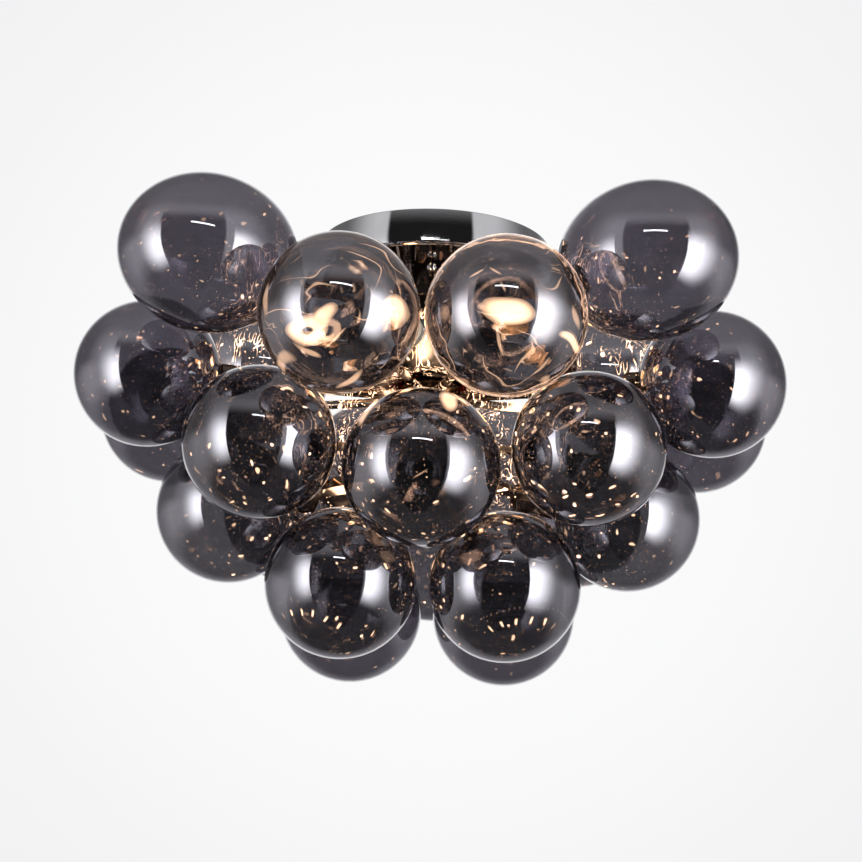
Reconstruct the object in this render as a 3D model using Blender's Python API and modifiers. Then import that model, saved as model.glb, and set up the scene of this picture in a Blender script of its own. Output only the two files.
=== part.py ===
"""Bubble chandelier: smoked glass globes on chrome arms round a lamp drum, close to the ceiling.

Metres, +Z up. The origin is the middle of the ceiling strap's top face, and everything hangs below it.
A bearing is an angle in degrees round +Z, counted from -Y, the front, towards +X.
A drop is a depth below the ceiling, and a reach is a distance from the fixture's upright axis.
"""

import math

import bmesh
import bpy
from mathutils import Matrix, Vector

# Fits
SEAT_GAP = 0.0003          # between faces that touch
SLIDE_FIT = 0.0003         # round a shank, neck or tube in its hole
CUT_OVERRUN = 0.0040       # how far a cutter runs past what it cuts
WELD_DISTANCE = 0.000001   # closes turned shapes at their axis

# Globes
GLOBE_RADIUS = 0.0500
GLASS_WALL = 0.0020
NECK_RADIUS = 0.0090
NECK_LENGTH = 0.0060       # past the top of the globe
PAIR_SPACING = 0.0022      # glass to glass, between the two globes of an upper pair
TOP_GLOBE_RADIUS = 0.0510
TOP_STRETCH_SHARE = 1.24   # the top globes are blown longer along their necks

# Arms: rod lengths from a hub's side to the back of the cup, and how far each tier tilts down
TOP_ARM, TOP_TILT = 0.0774, 0.0
UPPER_ARM, UPPER_TILT = 0.1182, 0.0
RAISED_ARM, RAISED_TILT = 0.0772, 8.7
MIDDLE_ARM, MIDDLE_TILT = 0.0658, 11.9
BOTTOM_ARM, BOTTOM_TILT = 0.0326, 46.6
CORNER_BEARINGS = [45, 135, 225, 315]
SIDE_BEARINGS = [0, 90, 180, 270]
ARM_RADIUS = 0.0030
ARM_SINK = 0.0020          # how far an arm runs into its hub
CUP_WALL = 0.0015
CUP_FLOOR = 0.0020
CUP_FLARE = 0.0050         # length of the taper from the cup to the rod

# Canopy
CANOPY_RADIUS = 0.0815
CANOPY_DEPTH = 0.0255
CANOPY_WALL = 0.0015
CANOPY_EDGE_RADIUS = 0.0030
SPIGOT_LENGTH = 0.0115
WIRE_HOLE_RADIUS = 0.0100

# Ceiling strap and what hangs on it
STRAP_WIDTH = 0.0220
STRAP_THICKNESS = 0.0020
STRAP_EAR_MARGIN = 0.0045  # ear below the middle of its screw hole
STRAP_SLOT_LENGTH = 0.0200
STRAP_SLOT_WIDTH = 0.0050
STRAP_SLOT_SPACING = 0.0020
SCREW_RADIUS = 0.0020
SIDE_SCREW_HEAD_RADIUS = 0.0034
SIDE_SCREW_HEAD = 0.0022
SIDE_SCREW_FACE_SHARE = 0.7   # flat face of the domed head, as a share of its radius
STRAP_BEARINGS = [90, 270]
TERMINAL_LENGTH, TERMINAL_WIDTH, TERMINAL_HEIGHT = 0.0260, 0.0180, 0.0140
TERMINAL_SPACING = 0.0010
TERMINAL_WELL_RADIUS = 0.0024
TERMINAL_WELL_DEPTH = 0.0060
TERMINAL_BEVEL = 0.0010
TERMINAL_WELLS = 3
GROMMET_WALL = 0.0020
GROMMET_LIP = 0.0020

# Drum: a neck that takes the canopy's spigot, a step that carries the top arm ring, and a body
DRUM_NECK_RADIUS = 0.0465
DRUM_NECK_LENGTH = 0.0372
DRUM_STEP_WIDTH = 0.0035
DRUM_BODY_LENGTH = 0.0390
DRUM_WALL = 0.0015
BALL_HEAD_RADIUS = 0.0036
RING_WALL = 0.0045
RING_HEIGHT = 0.0122

# Lamps
LAMP_COUNT = 6
LAMP_TURN = -18.0          # bearing of the first lamp
LAMP_STEP_MARGIN = 0.0005  # between a holder's flange and the drum's step
LAMP_RADIUS = 0.0080
LAMP_BASE_LENGTH = 0.0140
LAMP_LENGTH = 0.0420
LAMP_NECK_STEP = 0.0008    # how much narrower the glass capsule is than its base
SOCKET_DEPTH = 0.0110
HOLDER_WALL = 0.0026
HOLDER_LENGTH = 0.0160
HOLDER_TAIL = 0.0080
HOLDER_SHOULDER = 0.0016   # how much narrower the tail is than the barrel
HOLDER_FLANGE = 0.0020
HOLDER_FLANGE_WIDTH = 0.0020

# Stem and hubs, from the drum's floor down
STEM_RADIUS = 0.0050
STEM_CHAMFER = 0.0010
STEM_STAND_UP = 0.0020     # thread that shows above the nut
NUT_WALL = 0.0050
NUT_HEIGHT = 0.0060
BOSS_WALL = 0.0042
HUB_CHAMFER = 0.0010
UPPER_HUB_RADIUS, UPPER_HUB_HEIGHT = 0.0210, 0.0184
UPPER_BOSS_LENGTH = 0.0223
RAISED_HUB_RADIUS, RAISED_HUB_HEIGHT = 0.0160, 0.0167
MIDDLE_HUB_RADIUS, MIDDLE_HUB_HEIGHT = 0.0160, 0.0167
BOTTOM_HUB_RADIUS, BOTTOM_HUB_HEIGHT = 0.0140, 0.0197
FINIAL_RADIUS = 0.0115
FINIAL_COLLAR = 0.0040
FINIAL_SEAT = 0.0090       # how far the stem runs into the finial

# Facets round each turned piece, and along the globe's outline
GLOBE_STEPS = 12
ARM_STEPS = 8
SMALL_STEPS = 8
HOLDER_STEPS = 8
HUB_STEPS = 16
DRUM_STEPS = 24
CANOPY_STEPS = 32
GLOBE_ARC = 6
GLOBE_INNER_ARC = 3


def clear_scene():
    for obj in list(bpy.data.objects):
        bpy.data.objects.remove(obj, do_unlink=True)


def new_collection(name, shown):
    collection = bpy.data.collections.new(name)
    bpy.context.scene.collection.children.link(collection)
    collection.hide_render = not shown
    return collection


def principled(name, colour, metallic, roughness, transmission=0.0):
    material = bpy.data.materials.new(name)
    material.use_nodes = True
    shader = material.node_tree.nodes["Principled BSDF"]
    shader.inputs["Base Color"].default_value = (*colour, 1.0)
    shader.inputs["Metallic"].default_value = metallic
    shader.inputs["Roughness"].default_value = roughness
    shader.inputs["Transmission Weight"].default_value = transmission
    material.diffuse_color = (*colour, 1.0)
    return material


clear_scene()
PARTS = new_collection("bubble_chandelier", True)
CUTTERS = new_collection("cutters", False)

SMOKED_GLASS = ((0.19, 0.18, 0.21), 0.25, 0.03, 0.6)
CHROME = ((0.62, 0.62, 0.64), 1.0, 0.06)
WARM_LAMP = ((1.0, 0.86, 0.66), 0.0, 0.25)
CERAMIC = ((0.86, 0.83, 0.78), 0.0, 0.45)
STEEL = ((0.55, 0.55, 0.56), 1.0, 0.35)
RUBBER = ((0.04, 0.04, 0.04), 0.0, 0.8)


# Places

def outward(bearing, tilt=0.0):
    """Unit vector that points away from the axis, tilted down by this many degrees."""
    turn = math.radians(bearing)
    fall = math.radians(tilt)
    level = Vector((math.sin(turn), -math.cos(turn), 0.0))
    return level * math.cos(fall) - Vector((0.0, 0.0, math.sin(fall)))


def spot(bearing, reach, drop):
    return outward(bearing) * reach - Vector((0.0, 0.0, drop))


def facing(place, direction):
    """Matrix at a place whose +Z points along a direction."""
    return Matrix.Translation(place) @ direction.to_track_quat("Z", "Y").to_matrix().to_4x4()


def round_bore(radius, steps):
    """Corner radius of a faceted hole whose flats just clear a round bar of this radius."""
    return radius / math.cos(math.pi / steps)


def on_sphere(radius, off_axis):
    """Height of a sphere's surface above its centre, this far off its axis."""
    return math.sqrt(radius ** 2 - off_axis ** 2)


def arc(radius, first, last, count, centre=(0.0, 0.0)):
    """Points (off axis, height) on an arc; angles in degrees from straight up."""
    points = []
    for i in range(count + 1):
        turn = math.radians(first + (last - first) * i / count)
        points.append((centre[0] + radius * math.sin(turn), centre[1] + radius * math.cos(turn)))
    return points


# Shapes

def add_object(name, mesh, material=None, matrix=Matrix()):
    """A piece with its own material, or a cutter where no material is given."""
    obj = bpy.data.objects.new(name, mesh)
    obj.matrix_world = matrix
    if material:
        PARTS.objects.link(obj)
        mesh.materials.append(principled(name, *material))
    else:
        CUTTERS.objects.link(obj)
        obj.hide_render = True
        obj.display_type = "WIRE"
    return obj


def turned(name, points, steps, material=None, matrix=Matrix(), closed=False):
    """A piece turned round its own Z. The profile runs down its outer side."""
    mesh = bpy.data.meshes.new(name)
    edges = [(i, i + 1) for i in range(len(points) - 1)]
    if closed:
        edges.append((len(points) - 1, 0))
    mesh.from_pydata([(x, 0.0, z) for x, z in points], edges, [])
    obj = add_object(name, mesh, material, matrix)
    screw = obj.modifiers.new("turn", "SCREW")
    screw.steps = screw.render_steps = steps
    screw.use_merge_vertices = True
    screw.merge_threshold = WELD_DISTANCE
    screw.use_smooth_shade = True
    return obj


def prism(name, radius, near, far, steps, material=None, matrix=Matrix()):
    """A solid bar along its own Z, from near to far, with this corner radius."""
    mesh = bpy.data.meshes.new(name)
    bm = bmesh.new()
    middle = Matrix.Translation((0.0, 0.0, (near + far) / 2))
    bmesh.ops.create_cone(bm, cap_ends=True, segments=steps, radius1=radius, radius2=radius,
                          depth=far - near, matrix=middle)
    bm.to_mesh(mesh)
    bm.free()
    return add_object(name, mesh, material, matrix)


def hole(name, radius, near, far, steps, matrix=Matrix()):
    """A round cutter that clears a bar of this radius."""
    return prism(name, round_bore(radius, steps), near, far, steps, None, matrix)


def block(name, size, material=None, matrix=Matrix()):
    mesh = bpy.data.meshes.new(name)
    bm = bmesh.new()
    bmesh.ops.create_cube(bm, size=1.0, matrix=Matrix.Diagonal((*size, 1.0)))
    bm.to_mesh(mesh)
    bm.free()
    return add_object(name, mesh, material, matrix)


def combine(obj, others, operation):
    """Joins other objects to this one, or cuts them out of it."""
    for other in others:
        boolean = obj.modifiers.new(operation.lower(), "BOOLEAN")
        boolean.operation = operation
        boolean.solver = "EXACT"
        boolean.object = other
    return obj


# Heights, from the ceiling down

def drum_top():
    return CANOPY_DEPTH + SEAT_GAP


def drum_step():
    return drum_top() + DRUM_NECK_LENGTH


def drum_bottom():
    return drum_step() + DRUM_BODY_LENGTH


def nut_seat():
    return drum_bottom() - DRUM_WALL - SEAT_GAP


def upper_hub_top():
    return drum_bottom() + SEAT_GAP


def raised_hub_top():
    return upper_hub_top() + UPPER_HUB_HEIGHT + UPPER_BOSS_LENGTH + SEAT_GAP


def middle_hub_top():
    return raised_hub_top() + RAISED_HUB_HEIGHT + SEAT_GAP


def bottom_hub_top():
    return middle_hub_top() + MIDDLE_HUB_HEIGHT + SEAT_GAP


def finial_top():
    return bottom_hub_top() + BOTTOM_HUB_HEIGHT + SEAT_GAP


def stem_bottom():
    return finial_top() + FINIAL_SEAT


# Globes and their arms

def globe_shape(tier):
    """Radius across the neck, and how much longer the globe is along it."""
    if tier == "top":
        return TOP_GLOBE_RADIUS, TOP_STRETCH_SHARE
    return GLOBE_RADIUS, 1.0


def cup_back(tier):
    """Distance from a globe's centre to the back of the cup that holds its neck."""
    radius, stretch = globe_shape(tier)
    return radius * stretch + NECK_LENGTH + SEAT_GAP + CUP_FLOOR


def globe_profile(tier):
    radius, stretch = globe_shape(tier)
    inner = radius - GLASS_WALL
    inner_stretch = (radius * stretch - GLASS_WALL) / inner
    bore = NECK_RADIUS - GLASS_WALL
    mouth = radius * stretch + NECK_LENGTH
    inner_start = math.degrees(math.asin(bore / inner))
    outer_start = math.degrees(math.asin(NECK_RADIUS / radius))
    points = [(x, z * inner_stretch) for x, z in arc(inner, 180, inner_start, GLOBE_INNER_ARC)]
    points += [(bore, mouth), (NECK_RADIUS, mouth)]
    points += [(x, z * stretch) for x, z in arc(radius, outer_start, 180, GLOBE_ARC)]
    return points


def arm_profile(tier, arm_length):
    """Rod and cup in one turned piece, measured from the globe's centre. The rod sinks into its hub."""
    radius, stretch = globe_shape(tier)
    back = cup_back(tier)
    inside = round_bore(NECK_RADIUS + SLIDE_FIT, ARM_STEPS)
    outside = inside + CUP_WALL
    mouth = on_sphere(radius, inside) * stretch + SEAT_GAP
    seat = back - CUP_FLOOR
    rod_end = back + arm_length + ARM_SINK
    return [
        (0.0, rod_end), (ARM_RADIUS, rod_end), (ARM_RADIUS, back + CUP_FLARE), (outside, back),
        (outside, mouth), (inside, mouth), (inside, seat), (0.0, seat),
    ]


def globe_ring(tier, bearings, hub, hub_radius, hub_drop, arm_length, tilt):
    """A ring of globes, and the arms that join their cups to the hub's side."""
    arms = []
    for number, bearing in enumerate(bearings, 1):
        direction = outward(bearing, tilt)
        centre = spot(bearing, hub_radius, hub_drop) + direction * (arm_length + cup_back(tier))
        matrix = facing(centre, -direction)
        turned(f"globe_{tier}_{number}", globe_profile(tier), GLOBE_STEPS, SMOKED_GLASS, matrix)
        arms.append(turned(f"arm_{tier}_{number}", arm_profile(tier, arm_length), ARM_STEPS, None, matrix))
    combine(hub, arms, "UNION")


def ring_hub(name, radius, top, height, boss_length=0.0):
    """A hub with chamfered edges, bored for the stem, and the boss that spaces it from the next hub."""
    bore = round_bore(STEM_RADIUS + SLIDE_FIT, HUB_STEPS)
    bottom = top + height
    points = [(radius - HUB_CHAMFER, -top), (radius, -top - HUB_CHAMFER),
              (radius, -bottom + HUB_CHAMFER), (radius - HUB_CHAMFER, -bottom)]
    if boss_length:
        points += [(bore + BOSS_WALL, -bottom), (bore + BOSS_WALL, -bottom - boss_length)]
    points += [(bore, -bottom - boss_length), (bore, -top)]
    return turned(name, points, HUB_STEPS, CHROME, closed=True)


def top_arm_ring():
    """Rests on the drum's step, round its neck."""
    inner = round_bore(DRUM_NECK_RADIUS + SLIDE_FIT, DRUM_STEPS)
    outer = inner + RING_WALL
    bottom = SEAT_GAP - drum_step()
    top = bottom + RING_HEIGHT
    points = [(outer - HUB_CHAMFER, top), (outer, top - HUB_CHAMFER), (outer, bottom + HUB_CHAMFER),
              (outer - HUB_CHAMFER, bottom), (inner, bottom), (inner, top)]
    ring = turned("top_arm_ring", points, DRUM_STEPS, CHROME, closed=True)
    globe_ring("top", CORNER_BEARINGS, ring, outer, -(top + bottom) / 2, TOP_ARM, TOP_TILT)


def pair_bearings():
    """The upper globes stand in pairs, one pair at each side, almost touching."""
    reach = UPPER_HUB_RADIUS + UPPER_ARM + cup_back("upper")
    half = math.degrees(math.asin((GLOBE_RADIUS + PAIR_SPACING / 2) / reach))
    return [side + turn for side in SIDE_BEARINGS for turn in (-half, half)]


def arm_hubs():
    """The four hubs that hang under the drum on its stem."""
    top = upper_hub_top()
    hub = ring_hub("upper_arm_hub", UPPER_HUB_RADIUS, top, UPPER_HUB_HEIGHT, UPPER_BOSS_LENGTH)
    globe_ring("upper", pair_bearings(), hub, UPPER_HUB_RADIUS, top + UPPER_HUB_HEIGHT / 2,
               UPPER_ARM, UPPER_TILT)
    top = raised_hub_top()
    hub = ring_hub("raised_arm_hub", RAISED_HUB_RADIUS, top, RAISED_HUB_HEIGHT)
    globe_ring("raised", CORNER_BEARINGS, hub, RAISED_HUB_RADIUS, top + RAISED_HUB_HEIGHT / 2,
               RAISED_ARM, RAISED_TILT)
    top = middle_hub_top()
    hub = ring_hub("middle_arm_hub", MIDDLE_HUB_RADIUS, top, MIDDLE_HUB_HEIGHT)
    globe_ring("middle", SIDE_BEARINGS, hub, MIDDLE_HUB_RADIUS, top + MIDDLE_HUB_HEIGHT / 2,
               MIDDLE_ARM, MIDDLE_TILT)
    top = bottom_hub_top()
    hub = ring_hub("bottom_arm_hub", BOTTOM_HUB_RADIUS, top, BOTTOM_HUB_HEIGHT)
    globe_ring("bottom", CORNER_BEARINGS, hub, BOTTOM_HUB_RADIUS, top + BOTTOM_HUB_HEIGHT / 2,
               BOTTOM_ARM, BOTTOM_TILT)


# Ceiling side

def side_screw_matrix(bearing):
    """On the canopy's outer wall, half way down it."""
    return facing(spot(bearing, CANOPY_RADIUS, CANOPY_DEPTH / 2), outward(bearing))


def strap_end():
    """Outer face of the strap's ears, just inside the canopy's wall."""
    inside = (CANOPY_RADIUS - CANOPY_WALL) * math.cos(math.pi / CANOPY_STEPS)
    return on_sphere(inside, STRAP_WIDTH / 2) - SEAT_GAP


def terminal_middle():
    """The block stands clear of the grommet in the middle of the canopy."""
    return WIRE_HOLE_RADIUS + GROMMET_LIP + TERMINAL_SPACING + TERMINAL_LENGTH / 2


def slot_reach():
    """Middle of a slot. Both slots lie past the end of the terminal block."""
    return terminal_middle() + TERMINAL_LENGTH / 2 + STRAP_SLOT_SPACING + STRAP_SLOT_LENGTH / 2


def slot_cutters(side):
    below = -STRAP_THICKNESS - CUT_OVERRUN
    straight = STRAP_SLOT_LENGTH - STRAP_SLOT_WIDTH
    middle = Matrix.Translation((side * slot_reach(), 0.0, 0.0))
    size = (straight, STRAP_SLOT_WIDTH, 2 * (STRAP_THICKNESS + CUT_OVERRUN))
    cutters = [block("slot", size, None, middle)]
    for shift in (-straight / 2, straight / 2):
        end = middle @ Matrix.Translation((shift, 0.0, 0.0))
        cutters.append(prism("slot_end", STRAP_SLOT_WIDTH / 2, below, CUT_OVERRUN, SMALL_STEPS, None, end))
    return cutters


def ceiling_strap():
    """Flat strap with its ends bent down, slotted for the ceiling screws and drilled for the side screws."""
    end = strap_end()
    ear = -CANOPY_DEPTH / 2 - STRAP_EAR_MARGIN
    mesh = bpy.data.meshes.new("ceiling_strap")
    bm = bmesh.new()
    outline = [(end, ear), (end, 0.0), (-end, 0.0), (-end, ear)]
    row = [bm.verts.new((x, -STRAP_WIDTH / 2, z)) for x, z in outline]
    edges = [bm.edges.new(pair) for pair in zip(row, row[1:])]
    grown = bmesh.ops.extrude_edge_only(bm, edges=edges)["geom"]
    moved = [item for item in grown if isinstance(item, bmesh.types.BMVert)]
    bmesh.ops.translate(bm, verts=moved, vec=(0.0, STRAP_WIDTH, 0.0))
    bm.to_mesh(mesh)
    bm.free()
    strap = add_object("ceiling_strap", mesh, STEEL)
    solid = strap.modifiers.new("thickness", "SOLIDIFY")
    solid.thickness = STRAP_THICKNESS
    solid.offset = -1.0
    solid.use_even_offset = True
    cutters = slot_cutters(-1) + slot_cutters(1)
    for bearing in STRAP_BEARINGS:
        near = end - CANOPY_RADIUS - STRAP_THICKNESS - CUT_OVERRUN
        cutters.append(hole("ear_hole", SCREW_RADIUS + SLIDE_FIT, near, CUT_OVERRUN, SMALL_STEPS,
                            side_screw_matrix(bearing)))
    combine(strap, cutters, "DIFFERENCE")


def side_screws():
    """Domed screws through the canopy's wall into the strap's ears."""
    point = strap_end() - CANOPY_RADIUS - STRAP_THICKNESS - SCREW_RADIUS
    face = SEAT_GAP + SIDE_SCREW_HEAD
    face_radius = SIDE_SCREW_HEAD_RADIUS * SIDE_SCREW_FACE_SHARE
    for number, bearing in enumerate(STRAP_BEARINGS, 1):
        points = [(0.0, face), (face_radius, face), (SIDE_SCREW_HEAD_RADIUS, SEAT_GAP + SIDE_SCREW_HEAD / 2),
                  (SIDE_SCREW_HEAD_RADIUS, SEAT_GAP), (SCREW_RADIUS, SEAT_GAP), (SCREW_RADIUS, point),
                  (0.0, point)]
        turned(f"side_screw_{number}", points, SMALL_STEPS, CHROME, side_screw_matrix(bearing))


def terminal_block():
    """Hangs under the strap, with a row of screw wells in its lower face."""
    top = -STRAP_THICKNESS - SEAT_GAP
    size = (TERMINAL_LENGTH, TERMINAL_WIDTH, TERMINAL_HEIGHT)
    place = Matrix.Translation((-terminal_middle(), 0.0, top - TERMINAL_HEIGHT / 2))
    body = block("terminal_block", size, CERAMIC, place)
    bevel = body.modifiers.new("edges", "BEVEL")
    bevel.width = TERMINAL_BEVEL
    bevel.segments = 1
    pitch = TERMINAL_LENGTH / TERMINAL_WELLS
    cutters = []
    for i in range(TERMINAL_WELLS):
        shift = ((i - (TERMINAL_WELLS - 1) / 2) * pitch, 0.0, -TERMINAL_HEIGHT / 2)
        cutters.append(hole("terminal_well", TERMINAL_WELL_RADIUS, -CUT_OVERRUN, TERMINAL_WELL_DEPTH,
                            SMALL_STEPS, place @ Matrix.Translation(shift)))
    combine(body, cutters, "DIFFERENCE")


def spigot_radius():
    """Outer radius of the canopy's spigot, which fits inside the drum's neck."""
    return (DRUM_NECK_RADIUS - DRUM_WALL) * math.cos(math.pi / DRUM_STEPS) - SLIDE_FIT


def canopy():
    """Pan with a rounded lower edge and a spigot under it for the drum."""
    bottom = -CANOPY_DEPTH
    floor = bottom + CANOPY_WALL
    inside = CANOPY_RADIUS - CANOPY_WALL
    corner = (CANOPY_RADIUS - CANOPY_EDGE_RADIUS, bottom + CANOPY_EDGE_RADIUS)
    spigot = spigot_radius()
    points = [(CANOPY_RADIUS, -SEAT_GAP)]
    points += arc(CANOPY_EDGE_RADIUS, 90, 180, 3, corner)
    points += [(spigot, bottom), (spigot, bottom - SPIGOT_LENGTH)]
    points += [(spigot - CANOPY_WALL, bottom - SPIGOT_LENGTH), (spigot - CANOPY_WALL, bottom)]
    points += [(WIRE_HOLE_RADIUS, bottom), (WIRE_HOLE_RADIUS, floor)]
    points += [(inside - CANOPY_EDGE_RADIUS, floor), (inside, floor + CANOPY_EDGE_RADIUS)]
    points += [(inside, -SEAT_GAP)]
    pan = turned("canopy", points, CANOPY_STEPS, CHROME, closed=True)
    cutters = [hole("canopy_hole", SCREW_RADIUS + SLIDE_FIT, -CANOPY_WALL - CUT_OVERRUN, CUT_OVERRUN,
                    SMALL_STEPS, side_screw_matrix(bearing)) for bearing in STRAP_BEARINGS]
    cutters += drum_screw_cutters()
    combine(pan, cutters, "DIFFERENCE")


def wire_grommet():
    """Rubber ring with two lips, in the hole of the canopy's floor."""
    outer = WIRE_HOLE_RADIUS * math.cos(math.pi / CANOPY_STEPS) - SLIDE_FIT
    inner = outer - GROMMET_WALL
    lip = WIRE_HOLE_RADIUS + GROMMET_LIP
    floor_top = -CANOPY_DEPTH + CANOPY_WALL + SEAT_GAP
    floor_bottom = -CANOPY_DEPTH - SEAT_GAP
    points = [(lip, floor_top + GROMMET_LIP), (lip, floor_top), (outer, floor_top), (outer, floor_bottom),
              (lip, floor_bottom), (lip, floor_bottom - GROMMET_LIP), (inner, floor_bottom - GROMMET_LIP),
              (inner, floor_top + GROMMET_LIP)]
    turned("wire_grommet", points, HUB_STEPS, RUBBER, closed=True)


# Drum and lamps

def drum_screw_matrix(bearing):
    """On the drum's neck, half way along the spigot inside it."""
    return facing(spot(bearing, DRUM_NECK_RADIUS, CANOPY_DEPTH + SPIGOT_LENGTH / 2), outward(bearing))


def drum_screw_cutters():
    near = spigot_radius() - CANOPY_WALL - DRUM_NECK_RADIUS - CUT_OVERRUN
    return [hole("drum_screw_hole", SCREW_RADIUS + SLIDE_FIT, near, CUT_OVERRUN, SMALL_STEPS,
                 drum_screw_matrix(bearing)) for bearing in SIDE_BEARINGS]


def drum_screws():
    """Ball-headed screws through the drum's neck into the canopy's spigot."""
    point = spigot_radius() - CANOPY_WALL - DRUM_NECK_RADIUS - SCREW_RADIUS
    foot = math.degrees(math.asin(SCREW_RADIUS / BALL_HEAD_RADIUS))
    centre = SEAT_GAP + on_sphere(BALL_HEAD_RADIUS, SCREW_RADIUS)
    points = arc(BALL_HEAD_RADIUS, 0, 180 - foot, 5, (0.0, centre))
    points += [(SCREW_RADIUS, point), (0.0, point)]
    for number, bearing in enumerate(SIDE_BEARINGS, 1):
        turned(f"drum_screw_{number}", points, SMALL_STEPS, CHROME, drum_screw_matrix(bearing))


def lamp_drum():
    """Stepped can, open at the top, with holes for the lamp holders, the screws and the stem."""
    bore = round_bore(STEM_RADIUS + SLIDE_FIT, DRUM_STEPS)
    neck_inside = DRUM_NECK_RADIUS - DRUM_WALL
    body = DRUM_NECK_RADIUS + DRUM_STEP_WIDTH
    step = -drum_step()
    bottom = -drum_bottom()
    points = [(DRUM_NECK_RADIUS, -drum_top()), (DRUM_NECK_RADIUS, step), (body, step), (body, bottom),
              (bore, bottom), (bore, bottom + DRUM_WALL), (body - DRUM_WALL, bottom + DRUM_WALL),
              (body - DRUM_WALL, step - DRUM_WALL), (neck_inside, step - DRUM_WALL),
              (neck_inside, -drum_top())]
    drum = turned("lamp_drum", points, DRUM_STEPS, CHROME, closed=True)
    cutters = [hole("holder_hole", holder_tail_radius() + SLIDE_FIT, -DRUM_WALL - CUT_OVERRUN, CUT_OVERRUN,
                    HOLDER_STEPS, lamp_matrix(bearing)) for bearing in lamp_bearings()]
    combine(drum, cutters + drum_screw_cutters(), "DIFFERENCE")


def lamp_bearings():
    return [LAMP_TURN + i * 360 / LAMP_COUNT for i in range(LAMP_COUNT)]


def lamp_matrix(bearing):
    """On the wall of the drum's body, with the holder's flange just under its step."""
    reach = DRUM_NECK_RADIUS + DRUM_STEP_WIDTH
    drop = drum_step() + LAMP_STEP_MARGIN + holder_flange_radius()
    return facing(spot(bearing, reach, drop), outward(bearing))


def socket_radius():
    return round_bore(LAMP_RADIUS + SLIDE_FIT, HOLDER_STEPS)


def holder_tail_radius():
    return socket_radius() + HOLDER_WALL - HOLDER_SHOULDER


def holder_flange_radius():
    return socket_radius() + HOLDER_WALL + HOLDER_FLANGE_WIDTH


def lamps():
    """Lamp holders in the drum's wall, and a capsule lamp pushed into each."""
    barrel = socket_radius() + HOLDER_WALL
    flange = holder_flange_radius()
    mouth = SEAT_GAP + HOLDER_LENGTH
    seat = mouth - SOCKET_DEPTH
    holder = [(0.0, seat), (socket_radius(), seat), (socket_radius(), mouth), (barrel, mouth),
              (barrel, SEAT_GAP + HOLDER_FLANGE), (flange, SEAT_GAP + HOLDER_FLANGE), (flange, SEAT_GAP),
              (holder_tail_radius(), SEAT_GAP), (holder_tail_radius(), -HOLDER_TAIL), (0.0, -HOLDER_TAIL)]
    foot = seat + SEAT_GAP
    glass = LAMP_RADIUS - LAMP_NECK_STEP
    lamp = arc(glass, 0, 90, 3, (0.0, foot + LAMP_LENGTH - glass))
    lamp += [(glass, foot + LAMP_BASE_LENGTH), (LAMP_RADIUS, foot + LAMP_BASE_LENGTH),
             (LAMP_RADIUS, foot), (0.0, foot)]
    for number, bearing in enumerate(lamp_bearings(), 1):
        turned(f"lamp_holder_{number}", holder, HOLDER_STEPS, CERAMIC, lamp_matrix(bearing))
        turned(f"lamp_{number}", lamp, HOLDER_STEPS, WARM_LAMP, lamp_matrix(bearing))


# Stem

def stem():
    """Threaded rod from inside the drum down to the finial, with chamfered ends."""
    top = -nut_seat() + NUT_HEIGHT + STEM_STAND_UP
    bottom = -stem_bottom()
    waist = STEM_RADIUS - STEM_CHAMFER
    points = [(0.0, top), (waist, top), (STEM_RADIUS, top - STEM_CHAMFER),
              (STEM_RADIUS, bottom + STEM_CHAMFER), (waist, bottom), (0.0, bottom)]
    turned("stem", points, HUB_STEPS, STEEL)


def stem_nut():
    """Hexagon nut on the drum's floor."""
    bottom = -nut_seat()
    top = bottom + NUT_HEIGHT
    nut = prism("stem_nut", STEM_RADIUS + NUT_WALL, bottom, top, 6, STEEL)
    bore = hole("nut_bore", STEM_RADIUS + SLIDE_FIT, bottom - CUT_OVERRUN, top + CUT_OVERRUN, HUB_STEPS)
    combine(nut, [bore], "DIFFERENCE")


def finial():
    """Ball knob that screws onto the stem's end and clamps the hubs."""
    top = -finial_top()
    bore = round_bore(STEM_RADIUS + SLIDE_FIT, HUB_STEPS)
    bore_end = -stem_bottom() - SEAT_GAP
    collar = FINIAL_RADIUS - HUB_CHAMFER
    shoulder = math.degrees(math.asin(collar / FINIAL_RADIUS))
    centre = top - FINIAL_COLLAR - on_sphere(FINIAL_RADIUS, collar)
    points = [(0.0, bore_end), (bore, bore_end), (bore, top), (collar, top)]
    points += arc(FINIAL_RADIUS, shoulder, 180, 6, (0.0, centre))
    turned("finial", points, HUB_STEPS, CHROME)


ceiling_strap()
side_screws()
terminal_block()
canopy()
wire_grommet()
lamp_drum()
drum_screws()
lamps()
top_arm_ring()
arm_hubs()
stem()
stem_nut()
finial()
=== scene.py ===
"""Bubble chandelier: the looks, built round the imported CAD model.

Metres, +Z up, in the part's own frame: the origin is the middle of the ceiling strap's top face.
A bearing is an angle in degrees round +Z, counted from -Y, the front, towards +X.
"""

import math

import bmesh
import bpy
from mathutils import Matrix, Vector, noise


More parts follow.
